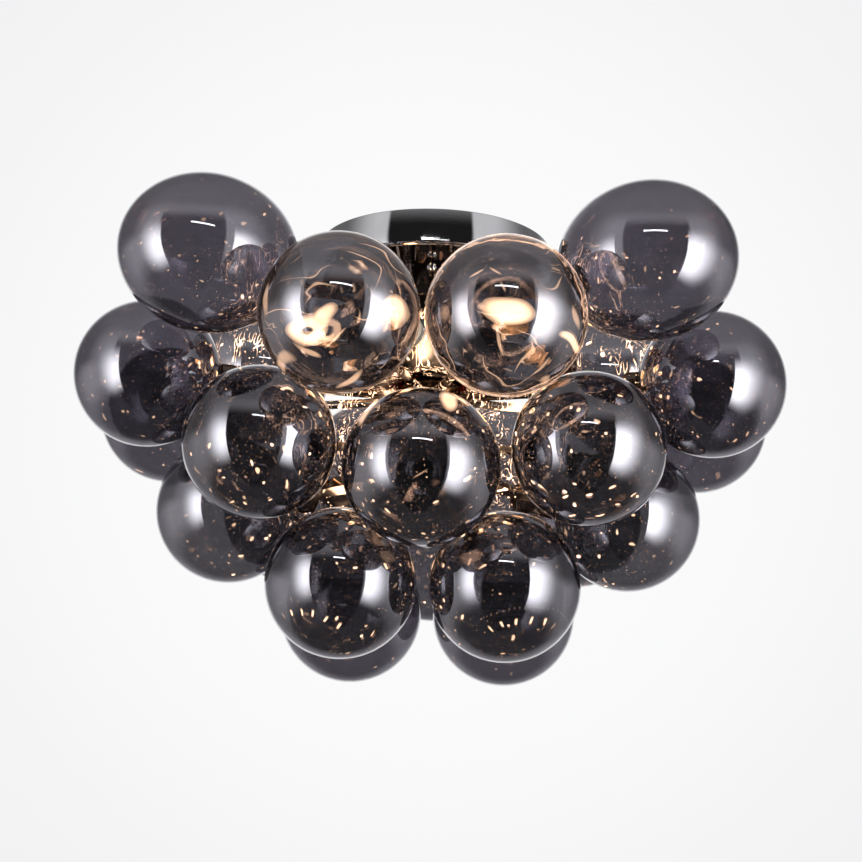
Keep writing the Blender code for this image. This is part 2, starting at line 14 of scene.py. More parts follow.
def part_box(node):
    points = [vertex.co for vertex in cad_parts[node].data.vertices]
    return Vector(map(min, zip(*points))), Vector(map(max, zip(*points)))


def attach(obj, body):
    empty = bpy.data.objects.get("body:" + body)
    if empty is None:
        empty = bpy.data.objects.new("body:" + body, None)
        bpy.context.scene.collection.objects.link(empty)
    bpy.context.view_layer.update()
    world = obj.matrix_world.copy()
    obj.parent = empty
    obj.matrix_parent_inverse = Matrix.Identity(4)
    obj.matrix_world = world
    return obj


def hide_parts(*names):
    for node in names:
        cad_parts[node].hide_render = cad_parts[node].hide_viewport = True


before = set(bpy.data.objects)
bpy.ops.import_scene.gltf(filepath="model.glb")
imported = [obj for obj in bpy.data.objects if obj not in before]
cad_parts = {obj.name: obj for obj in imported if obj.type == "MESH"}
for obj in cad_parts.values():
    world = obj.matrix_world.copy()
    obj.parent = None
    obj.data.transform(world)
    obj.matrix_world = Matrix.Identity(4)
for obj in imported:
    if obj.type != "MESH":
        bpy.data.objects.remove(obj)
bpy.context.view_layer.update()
scene = bpy.context.scene

# The part's dimensions that the looks follow
GAP = 0.0003
GLOBE_RADIUS, GLASS_WALL, NECK_RADIUS, NECK_LENGTH = 0.0500, 0.0020, 0.0090, 0.0060
TOP_GLOBE_RADIUS, TOP_STRETCH_SHARE = 0.0510, 1.24
TOP_ALONG_SHARE, TOP_ACROSS_SHARE = 0.965, 1.055
PAIR_SPACING = 0.0022
TOP_ARM, TOP_TILT = 0.0774, 0.0
UPPER_ARM, UPPER_TILT = 0.1182, 0.0
RAISED_ARM, RAISED_TILT = 0.0772, 8.7
MIDDLE_ARM, MIDDLE_TILT = 0.0658, 11.9
BOTTOM_ARM, BOTTOM_TILT = 0.0326, 46.6
CORNERS = [45, 135, 225, 315]
SIDES = [0, 90, 180, 270]
ARM_RADIUS, ARM_SINK = 0.0030, 0.0020
CUP_WALL, CUP_FLOOR, CUP_FLARE = 0.0015, 0.0020, 0.0050
CANOPY_RADIUS, CANOPY_DEPTH, CANOPY_WALL, CANOPY_EDGE = 0.0815, 0.0255, 0.0015, 0.0030
SPIGOT_LENGTH, WIRE_HOLE_RADIUS = 0.0115, 0.0100
SPIGOT_ROOM, RING_ROOM, SOCKET_ROOM, CUP_ROOM = 0.0006, 0.0007, 0.0007, 0.00065
DRUM_NECK_RADIUS, DRUM_NECK_LENGTH = 0.0465, 0.0372
DRUM_STEP_WIDTH, DRUM_BODY_LENGTH, DRUM_WALL = 0.0035, 0.0390, 0.0015
RING_WALL, RING_HEIGHT = 0.0045, 0.0122
BALL_HEAD_RADIUS, SCREW_RADIUS = 0.0036, 0.0020
LAMP_COUNT, LAMP_TURN, LAMP_STEP_MARGIN = 6, -18.0, 0.0005
LAMP_RADIUS, LAMP_BASE_LENGTH, LAMP_LENGTH, LAMP_NECK_STEP = 0.0080, 0.0140, 0.0420, 0.0008
SOCKET_DEPTH, HOLDER_WALL, HOLDER_LENGTH, HOLDER_TAIL = 0.0110, 0.0026, 0.0160, 0.0080
HOLDER_SHOULDER, HOLDER_FLANGE, HOLDER_FLANGE_WIDTH = 0.0016, 0.0020, 0.0020
STEM_RADIUS, BOSS_WALL, HUB_CHAMFER = 0.0050, 0.0042, 0.0010
UPPER_HUB = (0.0210, 0.0184, 0.0223)
RAISED_HUB = (0.0160, 0.0167, 0.0)
MIDDLE_HUB = (0.0160, 0.0167, 0.0)
BOTTOM_HUB = (0.0140, 0.0197, 0.0)
FINIAL_RADIUS, FINIAL_COLLAR = 0.0115, 0.0040

DRUM_TOP = CANOPY_DEPTH + GAP
DRUM_STEP = DRUM_TOP + DRUM_NECK_LENGTH
DRUM_BOTTOM = DRUM_STEP + DRUM_BODY_LENGTH
UPPER_TOP = DRUM_BOTTOM + GAP
RAISED_TOP = UPPER_TOP + UPPER_HUB[1] + UPPER_HUB[2] + GAP
MIDDLE_TOP = RAISED_TOP + RAISED_HUB[1] + GAP
BOTTOM_TOP = MIDDLE_TOP + MIDDLE_HUB[1] + GAP
FINIAL_TOP = BOTTOM_TOP + BOTTOM_HUB[1] + GAP

# Each tier below the drum: its hub's radius, height and boss, its hub's drop, and its arms' length and tilt
TIERS = {
    "upper": (UPPER_HUB, UPPER_TOP, UPPER_ARM, UPPER_TILT),
    "raised": (RAISED_HUB, RAISED_TOP, RAISED_ARM, RAISED_TILT),
    "middle": (MIDDLE_HUB, MIDDLE_TOP, MIDDLE_ARM, MIDDLE_TILT),
    "bottom": (BOTTOM_HUB, BOTTOM_TOP, BOTTOM_ARM, BOTTOM_TILT),
}


# Camera

# Found from the globes' outlines in the photograph: 85 mm lens on a 36 mm sensor, 1.37 m away and
# half a metre below the ceiling, looking up
CAMERA_DISTANCE, CAMERA_HEIGHT, CAMERA_SIDE = 1.3745, -0.50125, 0.00095
CAMERA_BEARING, CAMERA_PITCH, CAMERA_ROLL = 1.89, 14.95, 1.64
FOCAL_PIXELS, FRAME_PIXELS, SENSOR = 2040.0, 862.0, 36.0


def make_camera():
    data = bpy.data.cameras.new("camera")
    data.sensor_width = SENSOR
    data.lens = FOCAL_PIXELS / FRAME_PIXELS * SENSOR
    data.clip_start, data.clip_end = 0.05, 60.0
    camera = bpy.data.objects.new("camera", data)
    scene.collection.objects.link(camera)
    turn = Matrix.Rotation(math.radians(CAMERA_BEARING), 4, "Z")
    place = turn @ Vector((CAMERA_SIDE, -CAMERA_DISTANCE, 0.0))
    place.z = CAMERA_HEIGHT
    camera.matrix_world = (Matrix.Translation(place) @ turn
                           @ Matrix.Rotation(math.radians(90 + CAMERA_PITCH), 4, "X")
                           @ Matrix.Rotation(math.radians(CAMERA_ROLL), 4, "Z"))
    scene.camera = camera


# Node helpers

class Nodes:
    """Short ways to wire a node tree."""

    def __init__(self, tree):
        self.tree = tree

    def new(self, kind, **settings):
        node = self.tree.nodes.new(kind)
        for name, value in settings.items():
            setattr(node, name, value)
        return node

    def set(self, socket, value):
        if isinstance(value, bpy.types.NodeSocket):
            self.tree.links.new(value, socket)
        else:
            socket.default_value = (*value, 1.0) if socket.type == "RGBA" else value

    def shade(self, socket, value):
        self.set(self.tree.nodes["Principled BSDF"].inputs[socket], value)

    def math(self, operation, a, b=0.0, clamp=False):
        node = self.new("ShaderNodeMath", operation=operation, use_clamp=clamp)
        self.set(node.inputs[0], a)
        self.set(node.inputs[1], b)
        return node.outputs[0]

    def times(self, first, *others):
        for other in others:
            first = self.math("MULTIPLY", first, other)
        return first

    def plus(self, a, b):
        return self.math("ADD", a, b)

    def less(self, a, b):
        return self.math("SUBTRACT", a, b)

    def gap(self, value, middle):
        """How far the value is from the middle, to either side."""
        return self.math("ABSOLUTE", self.less(value, middle))

    def squares(self, a, b):
        return self.plus(self.times(a, a), self.times(b, b))

    def ramp(self, value, low, high, out_low=0.0, out_high=1.0):
        """Smooth step from low to high."""
        node = self.new("ShaderNodeMapRange", interpolation_type="SMOOTHSTEP")
        for name, number in zip(("Value", "From Min", "From Max", "To Min", "To Max"),
                                (value, low, high, out_low, out_high)):
            self.set(node.inputs[name], number)
        return node.outputs[0]

    def fall(self, value, low, high):
        """Smooth step from one at low down to nothing at high."""
        return self.ramp(value, low, high, 1.0, 0.0)

    def mix(self, factor, a, b):
        node = self.new("ShaderNodeMix", data_type="RGBA")
        self.set(node.inputs[0], factor)
        self.set(node.inputs[6], a)
        self.set(node.inputs[7], b)
        return node.outputs[2]

    def vector(self, operation, where, other):
        node = self.new("ShaderNodeVectorMath", operation=operation)
        self.set(node.inputs[0], where)
        self.set(node.inputs[1], other)
        return node.outputs["Value" if operation == "DOT_PRODUCT" else "Vector"]

    def split(self, where):
        node = self.new("ShaderNodeSeparateXYZ")
        self.set(node.inputs[0], where)
        return node.outputs

    def own(self):
        """Coordinates in the object's own frame, which is the part's frame for every piece."""
        return self.new("ShaderNodeTexCoord").outputs["Object"]

    def place(self, stretch=(1.0, 1.0, 1.0)):
        coordinates = self.own()
        mapping = self.new("ShaderNodeMapping")
        mapping.inputs["Scale"].default_value = stretch
        self.set(mapping.inputs["Vector"], coordinates)
        return mapping.outputs[0]

    def noise(self, where, scale, detail=2.0, roughness=0.5, distortion=0.0):
        node = self.new("ShaderNodeTexNoise")
        self.set(node.inputs["Vector"], where)
        for name, number in (("Scale", scale), ("Detail", detail), ("Roughness", roughness),
                             ("Distortion", distortion)):
            node.inputs[name].default_value = number
        return node.outputs["Fac"]

    def cells(self, where, scale):
        """Distance from the middle of the nearest scattered cell, and two random numbers of that cell."""
        node = self.new("ShaderNodeTexVoronoi", feature="F1")
        self.set(node.inputs["Vector"], where)
        node.inputs["Scale"].default_value = scale
        split = self.new("ShaderNodeSeparateColor")
        self.set(split.inputs[0], node.outputs["Color"])
        return node.outputs["Distance"], split.outputs[0], split.outputs[1]

    def bent(self, where, scale, amount):
        """Coordinates pushed about by a noise, so that round spots turn into drawn ones."""
        node = self.new("ShaderNodeTexNoise")
        self.set(node.inputs["Vector"], where)
        node.inputs["Scale"].default_value = scale
        node.inputs["Detail"].default_value = 0.0
        push = self.new("ShaderNodeVectorMath", operation="MULTIPLY_ADD")
        self.set(push.inputs[0], node.outputs["Color"])
        push.inputs[1].default_value = (amount, amount, amount)
        self.set(push.inputs[2], where)
        return push.outputs[0]

    def off_axis(self):
        """Distance from the part's own axis, and height."""
        x, y, z = self.split(self.own())
        return self.math("SQRT", self.squares(x, y)), z

    def bump(self, height, strength, distance, under=None):
        node = self.new("ShaderNodeBump")
        node.inputs["Strength"].default_value = strength
        node.inputs["Distance"].default_value = distance
        self.set(node.inputs["Height"], height)
        if under is not None:
            self.set(node.inputs["Normal"], under)
        return node.outputs[0]


def new_material(name, **sockets):
    """A Principled material; sockets that are the same all over are set on the shader itself."""
    material = bpy.data.materials.new(name)
    material.use_nodes = True
    n = Nodes(material.node_tree)
    for key, value in sockets.items():
        n.shade(key.replace("_", " "), value)
    return material, n


# Materials

LAMP_LEVEL = 22.0
# Distances off the axis of a lamp's tip, and of the place in its socket where its light begins
LAMP_TIP = DRUM_NECK_RADIUS + DRUM_STEP_WIDTH + 2 * GAP + HOLDER_LENGTH - SOCKET_DEPTH + LAMP_LENGTH
LAMP_NEAR = DRUM_NECK_RADIUS + DRUM_STEP_WIDTH + GAP + HOLDER_LENGTH - 0.001


def smoke_film(name="smoke_film", edge=(0.36, 0.35, 0.38), rim=0.77, sheen=0.0):
    """Half-mirror smoke on a globe's outer face: cloudy tint, drawn streaks and a few smears.

    It passes about a quarter of the light and returns about a sixth.
    """
    material, n = new_material(name, Metallic=0.52, IOR=1.50, Transmission_Weight=1.0, Coat_IOR=3.6,
                               Specular_Tint=edge, Sheen_Weight=sheen, Sheen_Roughness=0.15,
                               Sheen_Tint=(1.0, 0.74, 0.60))
    where = n.place()
    cloud = n.ramp(n.noise(where, 24.0, 3.0), 0.30, 0.70)
    n.shade("Base Color", n.mix(cloud, (0.255, 0.250, 0.272), (0.292, 0.286, 0.308)))
    smear = n.noise(n.place((1.0, 1.0, 2.4)), 60.0, 4.0, roughness=0.6, distortion=0.6)
    n.shade("Roughness", n.ramp(smear, 0.45, 0.80, 0.0, 0.030))
    drawn = n.noise(n.place((1.0, 1.0, 1.8)), 26.0, roughness=0.45, distortion=2.2)
    low = n.bump(n.noise(where, 18.0, 0.0), 0.08, 0.004)
    n.shade("Normal", n.bump(drawn, 0.03, 0.0015, low))
    facing_away = n.new("ShaderNodeLayerWeight").outputs["Facing"]
    n.shade("Coat Weight", n.ramp(facing_away, rim, rim + 0.05))
    return material


# Colour of the painted glints: emission that stands in for the warm lamps mirrored in glass and chrome
GLINT_COLOUR = (1.0, 0.61, 0.36)
# Cells to the metre for the painted glints' drawn spots and for their fine specks, the part of a cell that
# one fills and fades over, and how strong the brightest painted spots, specks and threads are
SPOT_CELLS, GLINT_SPECK_CELLS = 100.0, 400.0
SPOT_CORE, SPOT_EDGE = 0.10, 0.17
SPOT_LEVEL, GLINT_SPECK_LEVEL, THREAD_LEVEL = 11.0, 6.0, 7.0


def painted_glints(n, near, far, dashes=1.0, speck_glints=1.0, threads=1.0, thread_reach=0.085, start=-0.045):
    """Painted gold glints, the lamps mirrored over and over as emission: drawn spots, fine specks, and fine
    threads close to the lamps.

    They thin out from near to far off the axis, and begin below the start height.
    """
    where = n.place()
    reach, height = n.off_axis()
    below = n.ramp(height, start, start - 0.040)
    distance, pick, tone = n.cells(n.bent(where, 75.0, 0.016), SPOT_CELLS)
    spots = n.times(n.fall(distance, SPOT_CORE, SPOT_EDGE), n.ramp(pick, 0.45, 0.47),
                    n.plus(n.times(tone, SPOT_LEVEL * dashes), dashes))
    # Fine specks of painted glint in patches: the lamps' reflections as emission
    small, chance, level = n.cells(n.bent(where, 400.0, 0.0022), GLINT_SPECK_CELLS)
    patch = n.ramp(n.noise(where, 32.0, 1.0), 0.40, 0.62)
    painted_specks = n.times(n.fall(small, SPOT_CORE, SPOT_EDGE), n.ramp(chance, 0.40, 0.45), patch,
                     n.times(level, GLINT_SPECK_LEVEL * speck_glints))
    glints = n.times(n.plus(spots, painted_specks), n.fall(reach, near, far))
    ridge = n.noise(n.bent(n.place((1.0, 1.0, 0.35)), 70.0, 0.010), 320.0, 0.0)
    glow_patches = n.ramp(n.noise(n.place((1.0, 1.0, 0.6)), 95.0, 2.0, 0.7), 0.46, 0.66)
    close = n.times(n.fall(reach, thread_reach, thread_reach + 0.050), n.ramp(height, -0.185, -0.150))
    drawn = n.times(n.fall(n.gap(ridge, 0.5), 0.010, 0.040), glow_patches, n.times(close, THREAD_LEVEL * threads))
    return n.times(n.plus(glints, drawn), below)


# How far noise bends the painted lamp images, and where the painted ring at the rim begins and is full, in
# globe radii
IMAGE_BEND = 0.014
RIM_START, RIM_FULL, RIM_CLOUDS = 0.934, 0.948, 40.0


def painted_lamp_images(n, middle, images, rim=0.0):
    """The lamps as the front pair mirrors them, painted as emission: soft-edged blobs and strokes on the
    inner face.

    Each image has its place right of and above the globe's middle, its half width and half height, all in
    globe radii, its turn in degrees, and its strength. A negative strength cuts a hole. The rim is a painted
    ring of light, standing in for lamp light caught in the glass wall.
    """
    right = outward(CAMERA_BEARING + 90.0)
    near = outward(CAMERA_BEARING, CAMERA_PITCH)
    up = near.cross(right)
    # the noise that bends the coordinates also shifts them by half its amount
    drawn = n.vector("SUBTRACT", n.bent(n.place(), 42.0, IMAGE_BEND), middle + Vector((IMAGE_BEND / 2,) * 3))

    def along(offset, axis):
        return n.vector("DOT_PRODUCT", offset, axis / GLOBE_RADIUS)

    total = None
    for x, y, wide, high, turn, level in images:
        cos, sin = math.cos(math.radians(turn)), math.sin(math.radians(turn))
        first = n.less(along(drawn, (right * cos + up * sin) / wide), (x * cos + y * sin) / wide)
        second = n.less(along(drawn, (up * cos - right * sin) / high), (y * cos - x * sin) / high)
        away = n.squares(first, second)
        if level < 0:
            total = n.times(total, n.ramp(away, 0.30, 1.10))
            continue
        blob = n.plus(n.ramp(away, 0.20, 0.95, 0.78 * level, 0.0),
                      n.ramp(away, 0.94, 1.06, 0.22 * level, 0.0))
        total = blob if total is None else n.math("MAXIMUM", total, blob)
    total = n.times(total, n.ramp(along(drawn, near), 0.0, 0.2))
    if rim:
        straight = n.vector("SUBTRACT", n.place(), middle)
        away = n.math("SQRT", n.squares(along(straight, right), along(straight, up)))
        clouds = n.ramp(n.noise(n.place(), RIM_CLOUDS, 1.0), 0.35, 0.62, 0.30, 1.0)
        ring = n.times(n.ramp(away, RIM_START, RIM_FULL), n.ramp(along(straight, near), 0.0, 0.04),
                       clouds, rim)
        total = n.plus(total, ring)
    return total


# How far the axis of the painted glint fan leans outwards, and the angle from it and the number of the
# dashes, then of the dots
FAN_LEAN, FAN_ANGLE, FAN_COUNT = 0.19, 36.0, 18
FAN_BEND, FAN_ROW_ANGLE, FAN_ROW_COUNT, FAN_ROW_LEVEL = 0.006, 48.0, 10.0, 0.12


def fan(n, middle, level):
    """Painted glints, drawn as emission, that radiate round the underside of the two lowest globes in front.

    The two mirror each other about the plane through the axis, so their places are folded onto one.
    """
    x, y, z = n.split(n.bent(n.place(), 60.0, FAN_BEND))
    folded = n.new("ShaderNodeCombineXYZ")
    for socket, value, centre in zip(folded.inputs, (n.math("ABSOLUTE", x), n.math("ABSOLUTE", y), z),
                                     (abs(middle.x), abs(middle.y), middle.z)):
        n.set(socket, n.less(value, centre + FAN_BEND / 2))
    down = Vector((FAN_LEAN, FAN_LEAN, -1.0)).normalized()
    aside = Vector((1.0, -1.0, 0.0)).normalized()

    def along(axis):
        return n.vector("DOT_PRODUCT", folded.outputs[0], axis)

    length = n.new("ShaderNodeVectorMath", operation="LENGTH")
    n.set(length.inputs[0], folded.outputs[0])
    polar = n.math("ARCCOSINE", n.math("DIVIDE", along(down), length.outputs["Value"]))
    round_it = n.math("ARCTAN2", along(down.cross(aside)), along(aside))
    turn = n.times(round_it, FAN_COUNT / (2 * math.pi))
    chance = n.new("ShaderNodeTexWhiteNoise", noise_dimensions="1D")
    n.set(chance.inputs["W"], n.math("FLOOR", turn))
    across = n.gap(n.math("FRACT", turn), 0.5)
    mask = n.times(n.fall(across, 0.05, 0.10), n.fall(n.gap(polar, math.radians(FAN_ANGLE)), 0.020, 0.065),
                   n.ramp(chance.outputs["Value"], 0.20, 0.55))
    dots = n.gap(n.math("FRACT", n.times(round_it, FAN_ROW_COUNT)), 0.5)
    row = n.times(n.fall(dots, 0.06, 0.12), n.fall(n.gap(polar, math.radians(FAN_ROW_ANGLE)), 0.006, 0.016),
                  n.ramp(n.noise(n.place(), 45.0, 0.0), 0.50, 0.62), FAN_ROW_LEVEL)
    outer = n.ramp(along(Vector((1.0, 1.0, 0.0)).normalized()), 0.008, 0.014)
    return n.times(n.plus(mask, row), level, outer)


def clear_glass(name, tint, waves, near, far, dashes, speck_glints, images=None, image_middle=None, swirls=1.0,
                rim=0.0, fan_middle=None, **threads):
    """The uncoated inner face, with blown waves and drawn streaks in it, and painted glints of the lamps as
    emission.
    """
    material, n = new_material(name, IOR=1.50, Transmission_Weight=1.0, Roughness=0.0, Emission_Color=GLINT_COLOUR)
    where = n.place()
    haze = n.ramp(n.noise(where, 70.0, 3.0), 0.35, 0.70)
    darker = tuple(channel * 0.95 for channel in tint)
    n.shade("Base Color", n.mix(haze, tint, darker))
    drawn = n.noise(n.place((1.0, 1.0, 1.6)), 22.0, 0.0, distortion=3.2)
    low = n.bump(n.noise(where, 14.0, 0.0), 0.35 * waves, 0.004)
    n.shade("Normal", n.bump(drawn, 0.20 * waves, 0.0015, low))
    glints = painted_glints(n, near, far, dashes, speck_glints, **threads)
    if images:
        # Painted light: swirling lines and a faint veil of glow that grows upwards, the lamps seen in the
        # wavy glass
        curl = n.noise(n.bent(where, 16.0, 0.030), 15.0, 0.0, distortion=1.6)
        width = n.ramp(n.noise(where, 26.0, 0.0), 0.46, 0.68, 0.0, 0.013)
        line = n.fall(n.less(n.gap(curl, 0.5), width), -0.007, 0.0)
        glow_veil = n.ramp(n.off_axis()[1], -0.125, -0.070, 0.0, 0.006)
        glints = n.plus(glints, n.times(n.plus(n.times(line, 2.4), glow_veil), swirls))
        glints = n.plus(glints, painted_lamp_images(n, image_middle, images, rim))
    if fan_middle:
        glints = n.plus(glints, fan(n, fan_middle, 9.0))
    n.shade("Emission Strength", glints)
    return material


def chrome(name="chrome", tone=(0.52, 0.52, 0.53), glints=0.0, edge=(1.0, 1.0, 1.0)):
    """Polished plating: faint haze and fine wiping marks, and, with glints, painted gold glints and a painted
    glow.
    """
    material, n = new_material(name, Metallic=1.0, Specular_Tint=edge)
    where = n.place()
    haze = n.ramp(n.noise(where, 45.0, 4.0, 0.6), 0.35, 0.75)
    darker = tuple(channel * 0.93 for channel in tone)
    n.shade("Base Color", n.mix(haze, tone, darker))
    wiped = n.noise(n.place((1.0, 1.0, 14.0)), 90.0, 3.0, 0.65)
    n.shade("Roughness", n.ramp(wiped, 0.30, 0.85, 0.015, 0.075))
    n.shade("Normal", n.bump(wiped, 0.03, 0.0004))
    if glints:
        n.shade("Emission Color", GLINT_COLOUR)
        # Painted light: gold glints and a patchy glow where the lamps' light would fall, near the axis and
        # low down
        reach, height = n.off_axis()
        glow_patches = n.noise(where, 48.0, 0.0)
        glow_patches = n.plus(n.ramp(glow_patches, 0.46, 0.72, 0.0, 0.25), n.ramp(glow_patches, 0.62, 0.74, 0.0, 3.0))
        glow = n.times(glow_patches, n.fall(reach, 0.055, 0.095), n.ramp(height, -0.070, -0.100, 0.0, glints))
        lit = n.plus(painted_glints(n, 0.100, 0.180, 0.6, 3.0, threads=1.6, thread_reach=0.040), glow)
        n.shade("Emission Strength", n.times(lit, n.ramp(reach, 0.022, 0.036)))
    return material


def lamp_glow():
    """Frosted capsule, lit: white along its middle, warmer and dimmer towards its base."""
    material, n = new_material("lamp_glow", Roughness=0.35)
    where = n.place()
    frost = n.noise(where, 420.0, 3.0)
    n.shade("Base Color", n.mix(frost, (0.95, 0.88, 0.78), (0.88, 0.80, 0.68)))
    reach = n.off_axis()[0]
    lit = n.times(n.ramp(reach, LAMP_NEAR, LAMP_NEAR + 0.016),
                  n.ramp(reach, LAMP_TIP - 0.010, LAMP_TIP, 1.0, 0.30),
                  n.fall(reach, LAMP_TIP - 0.0009, LAMP_TIP - 0.0005))
    patch = n.times(n.ramp(n.noise(where, 105.0, 0.0), 0.36, 0.62), 0.85)
    lit = n.times(lit, n.less(1.0, patch))
    glow_patches = n.math("SUBTRACT", lit, patch, clamp=True)
    n.shade("Emission Color", n.mix(glow_patches, (1.0, 0.42, 0.13), (1.0, 0.70, 0.42)))
    n.shade("Emission Strength", n.times(n.plus(n.times(lit, 0.93), 0.07), LAMP_LEVEL))
    n.shade("Normal", n.bump(frost, 0.12, 0.0003))
    return material


def ceramic():
    material, n = new_material("ceramic", IOR=1.52)
    where = n.place()
    speck = n.noise(where, 900.0, 2.0)
    cloud = n.noise(where, 120.0, 3.0)
    warm = n.mix(n.ramp(cloud, 0.3, 0.7), (0.84, 0.81, 0.76), (0.78, 0.74, 0.68))
    n.shade("Base Color", n.mix(n.ramp(speck, 0.66, 0.74, 0.0, 0.35), warm, (0.45, 0.40, 0.34)))
    n.shade("Roughness", n.ramp(cloud, 0.3, 0.7, 0.34, 0.52))
    n.shade("Normal", n.bump(n.noise(where, 650.0, 3.0), 0.15, 0.0003))
    return material


def plated_steel():
    """Zinc plate with a directional grain and a little spangle."""
    material, n = new_material("plated_steel", Metallic=1.0)
    grain = n.noise(n.place((2.0, 60.0, 60.0)), 60.0, 4.0, 0.7)
    patch = n.noise(n.place(), 110.0, 2.0)
    n.shade("Base Color", n.mix(n.ramp(patch, 0.35, 0.65), (0.60, 0.60, 0.61), (0.50, 0.51, 0.54)))
    n.shade("Roughness", n.ramp(grain, 0.3, 0.75, 0.26, 0.48))
    n.shade("Normal", n.bump(grain, 0.10, 0.0003))
    return material


def thread_steel():
    """The plated rod, with its thread as a bump 0.8 mm to the turn, and painted shade: darker down in its
    grooves.
    """
    material, n = new_material("thread_steel", Metallic=1.0)
    wave = n.new("ShaderNodeTexWave", wave_type="BANDS", bands_direction="Z", wave_profile="SAW")
    n.set(wave.inputs["Vector"], n.place())
    wave.inputs["Scale"].default_value = 395.0
    thread = wave.outputs["Fac"]
    # Painted shade: darker where the thread sinks, lighter on its crests
    n.shade("Base Color", n.mix(thread, (0.38, 0.38, 0.40), (0.62, 0.62, 0.64)))
    n.shade("Roughness", n.ramp(thread, 0.0, 1.0, 0.42, 0.24))
    n.shade("Normal", n.bump(thread, 0.5, 0.0004))
    return material


def moulded(name, colour, second, low_gloss, high_gloss, own_light=0.0):
    """Moulded plastic or rubber: fine texture and slightly uneven colour."""
    material, n = new_material(name, IOR=1.47, Emission_Strength=own_light)
    where = n.place()
    patch = n.noise(where, 160.0, 3.0)
    n.shade("Base Color", n.mix(n.ramp(patch, 0.3, 0.7), colour, second))
    n.shade("Roughness", n.ramp(patch, 0.3, 0.7, low_gloss, high_gloss))
    n.shade("Normal", n.bump(n.noise(where, 1400.0, 2.0), 0.2, 0.0002))
    return material


# Shapes

def outward(bearing, tilt=0.0):
    turn, fall = math.radians(bearing), math.radians(tilt)
    return (Vector((math.sin(turn), -math.cos(turn), 0.0)) * math.cos(fall)
            - Vector((0.0, 0.0, math.sin(fall))))


def spot(bearing, reach, drop):
    """The place at a bearing, so far off the axis and so far below the ceiling."""
    return outward(bearing) * reach - Vector((0.0, 0.0, drop))


def facing(place, direction):
    """Sets a piece that is turned round Z at the place, with its Z along the direction."""
    return Matrix.Translation(place) @ direction.to_track_quat("Z", "Y").to_matrix().to_4x4()


def arc(radius, first, last, count, centre=(0.0, 0.0)):
    """Points (off axis, height) on an arc; angles in degrees from straight up."""
    turns = [math.radians(first + (last - first) * i / count) for i in range(count + 1)]
    return [(centre[0] + radius * math.sin(t), centre[1] + radius * math.cos(t)) for t in turns]


GROOVE_SLOPE, GROOVE_WIDTH = 0.0004, 0.0016


def groove(radius, z, depth, slope=GROOVE_SLOPE, width=GROOVE_WIDTH):
    """A turned groove's profile, from z down."""
    end = z - width
    return [(radius, z), (radius - depth, z - slope), (radius - depth, end + slope), (radius, end)]


def rounded(points, radius, count=4, closed=False):
    """The profile with its corners rounded. Its ends on the axis and its slight bends stay."""
    made = []
    size = len(points)
    for i, here in enumerate(points):
        p = Vector(here)
        a, b = Vector(points[i - 1]) - p, Vector(points[(i + 1) % size]) - p
        bend = 0.0
        if (closed or 0 < i < size - 1) and min(a.length, b.length) >= 1e-7:
            bend = math.pi - a.angle(b)
        if bend < math.radians(12):
            made.append(here)
            continue
        cut = min(radius * math.tan(bend / 2), 0.42 * a.length, 0.42 * b.length)
        start, end = p + a.normalized() * cut, p + b.normalized() * cut
        for k in range(count + 1):
            t = k / count
            point = start * (1 - t) ** 2 + p * 2 * t * (1 - t) + end * t ** 2
            made.append((point.x, point.y))
    return made


def turn_into(bm, points, steps, matrix=Matrix(), closed=False, moved=None, second_from=None):
    """Turns a profile round Z into the mesh. The profile runs down the outer side.

    Faces past the ring second_from take the second material.
    """
    rings = []
    for number, (x, z) in enumerate(points):
        if abs(x) < 1e-7:
            spots = [Vector((0.0, 0.0, z))]
        else:
            spots = [Vector((x * math.cos(2 * math.pi * i / steps), x * math.sin(2 * math.pi * i / steps), z))
                     for i in range(steps)]
        if moved:
            spots = [moved(number, s) for s in spots]
        rings.append([bm.verts.new(matrix @ s) for s in spots])
    pairs = list(zip(rings, rings[1:]))
    if closed:
        pairs.append((rings[-1], rings[0]))
    for number, (upper, lower) in enumerate(pairs):
        if len(upper) == 1 and len(lower) == 1:
            continue
        for i in range(steps):
            k = (i + 1) % steps
            if len(upper) == 1:
                face = bm.faces.new((upper[0], lower[i], lower[k]))
            elif len(lower) == 1:
                face = bm.faces.new((upper[i], lower[0], upper[k]))
            else:
                face = bm.faces.new((upper[i], lower[i], lower[k], upper[k]))
            if second_from is not None and number >= second_from:
                face.material_index = 1


def finish_mesh(name, bm, material, sharp=40.0, second=None):
    bmesh.ops.recalc_face_normals(bm, faces=bm.faces)
    mesh = bpy.data.meshes.new(name)
    bm.to_mesh(mesh)
    bm.free()
    mesh.shade_smooth()
    mesh.set_sharp_from_angle(angle=math.radians(sharp))
    mesh.materials.append(material)
    if second:
        mesh.materials.append(second)
    obj = bpy.data.objects.new(name, mesh)
    scene.collection.objects.link(obj)
    return obj


def turned(name, points, steps, material, matrix=Matrix(), closed=False, sharp=40.0):
    bm = bmesh.new()
    turn_into(bm, points, steps, matrix, closed)
    return finish_mesh(name, bm, material, sharp)


def dress(obj, body, slot, *nodes):
    """The piece rides on a body and may stand for CAD nodes. The slot is not used."""
    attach(obj, body)
    if nodes:
        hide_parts(*nodes)


# Globes and arms

GLOBE_STEPS, GLOBE_ARC = 64, 34
BORE_STEP, NECK_STEP, NECK_ROUNDING = 0.0008, 0.0006, 0.0009
WANDER, WANDER_SCALE, FLAT_FADE = 0.010, 30.0, 0.020
COLLAR_STEP, COLLAR_LENGTH = 0.0012, 0.0030
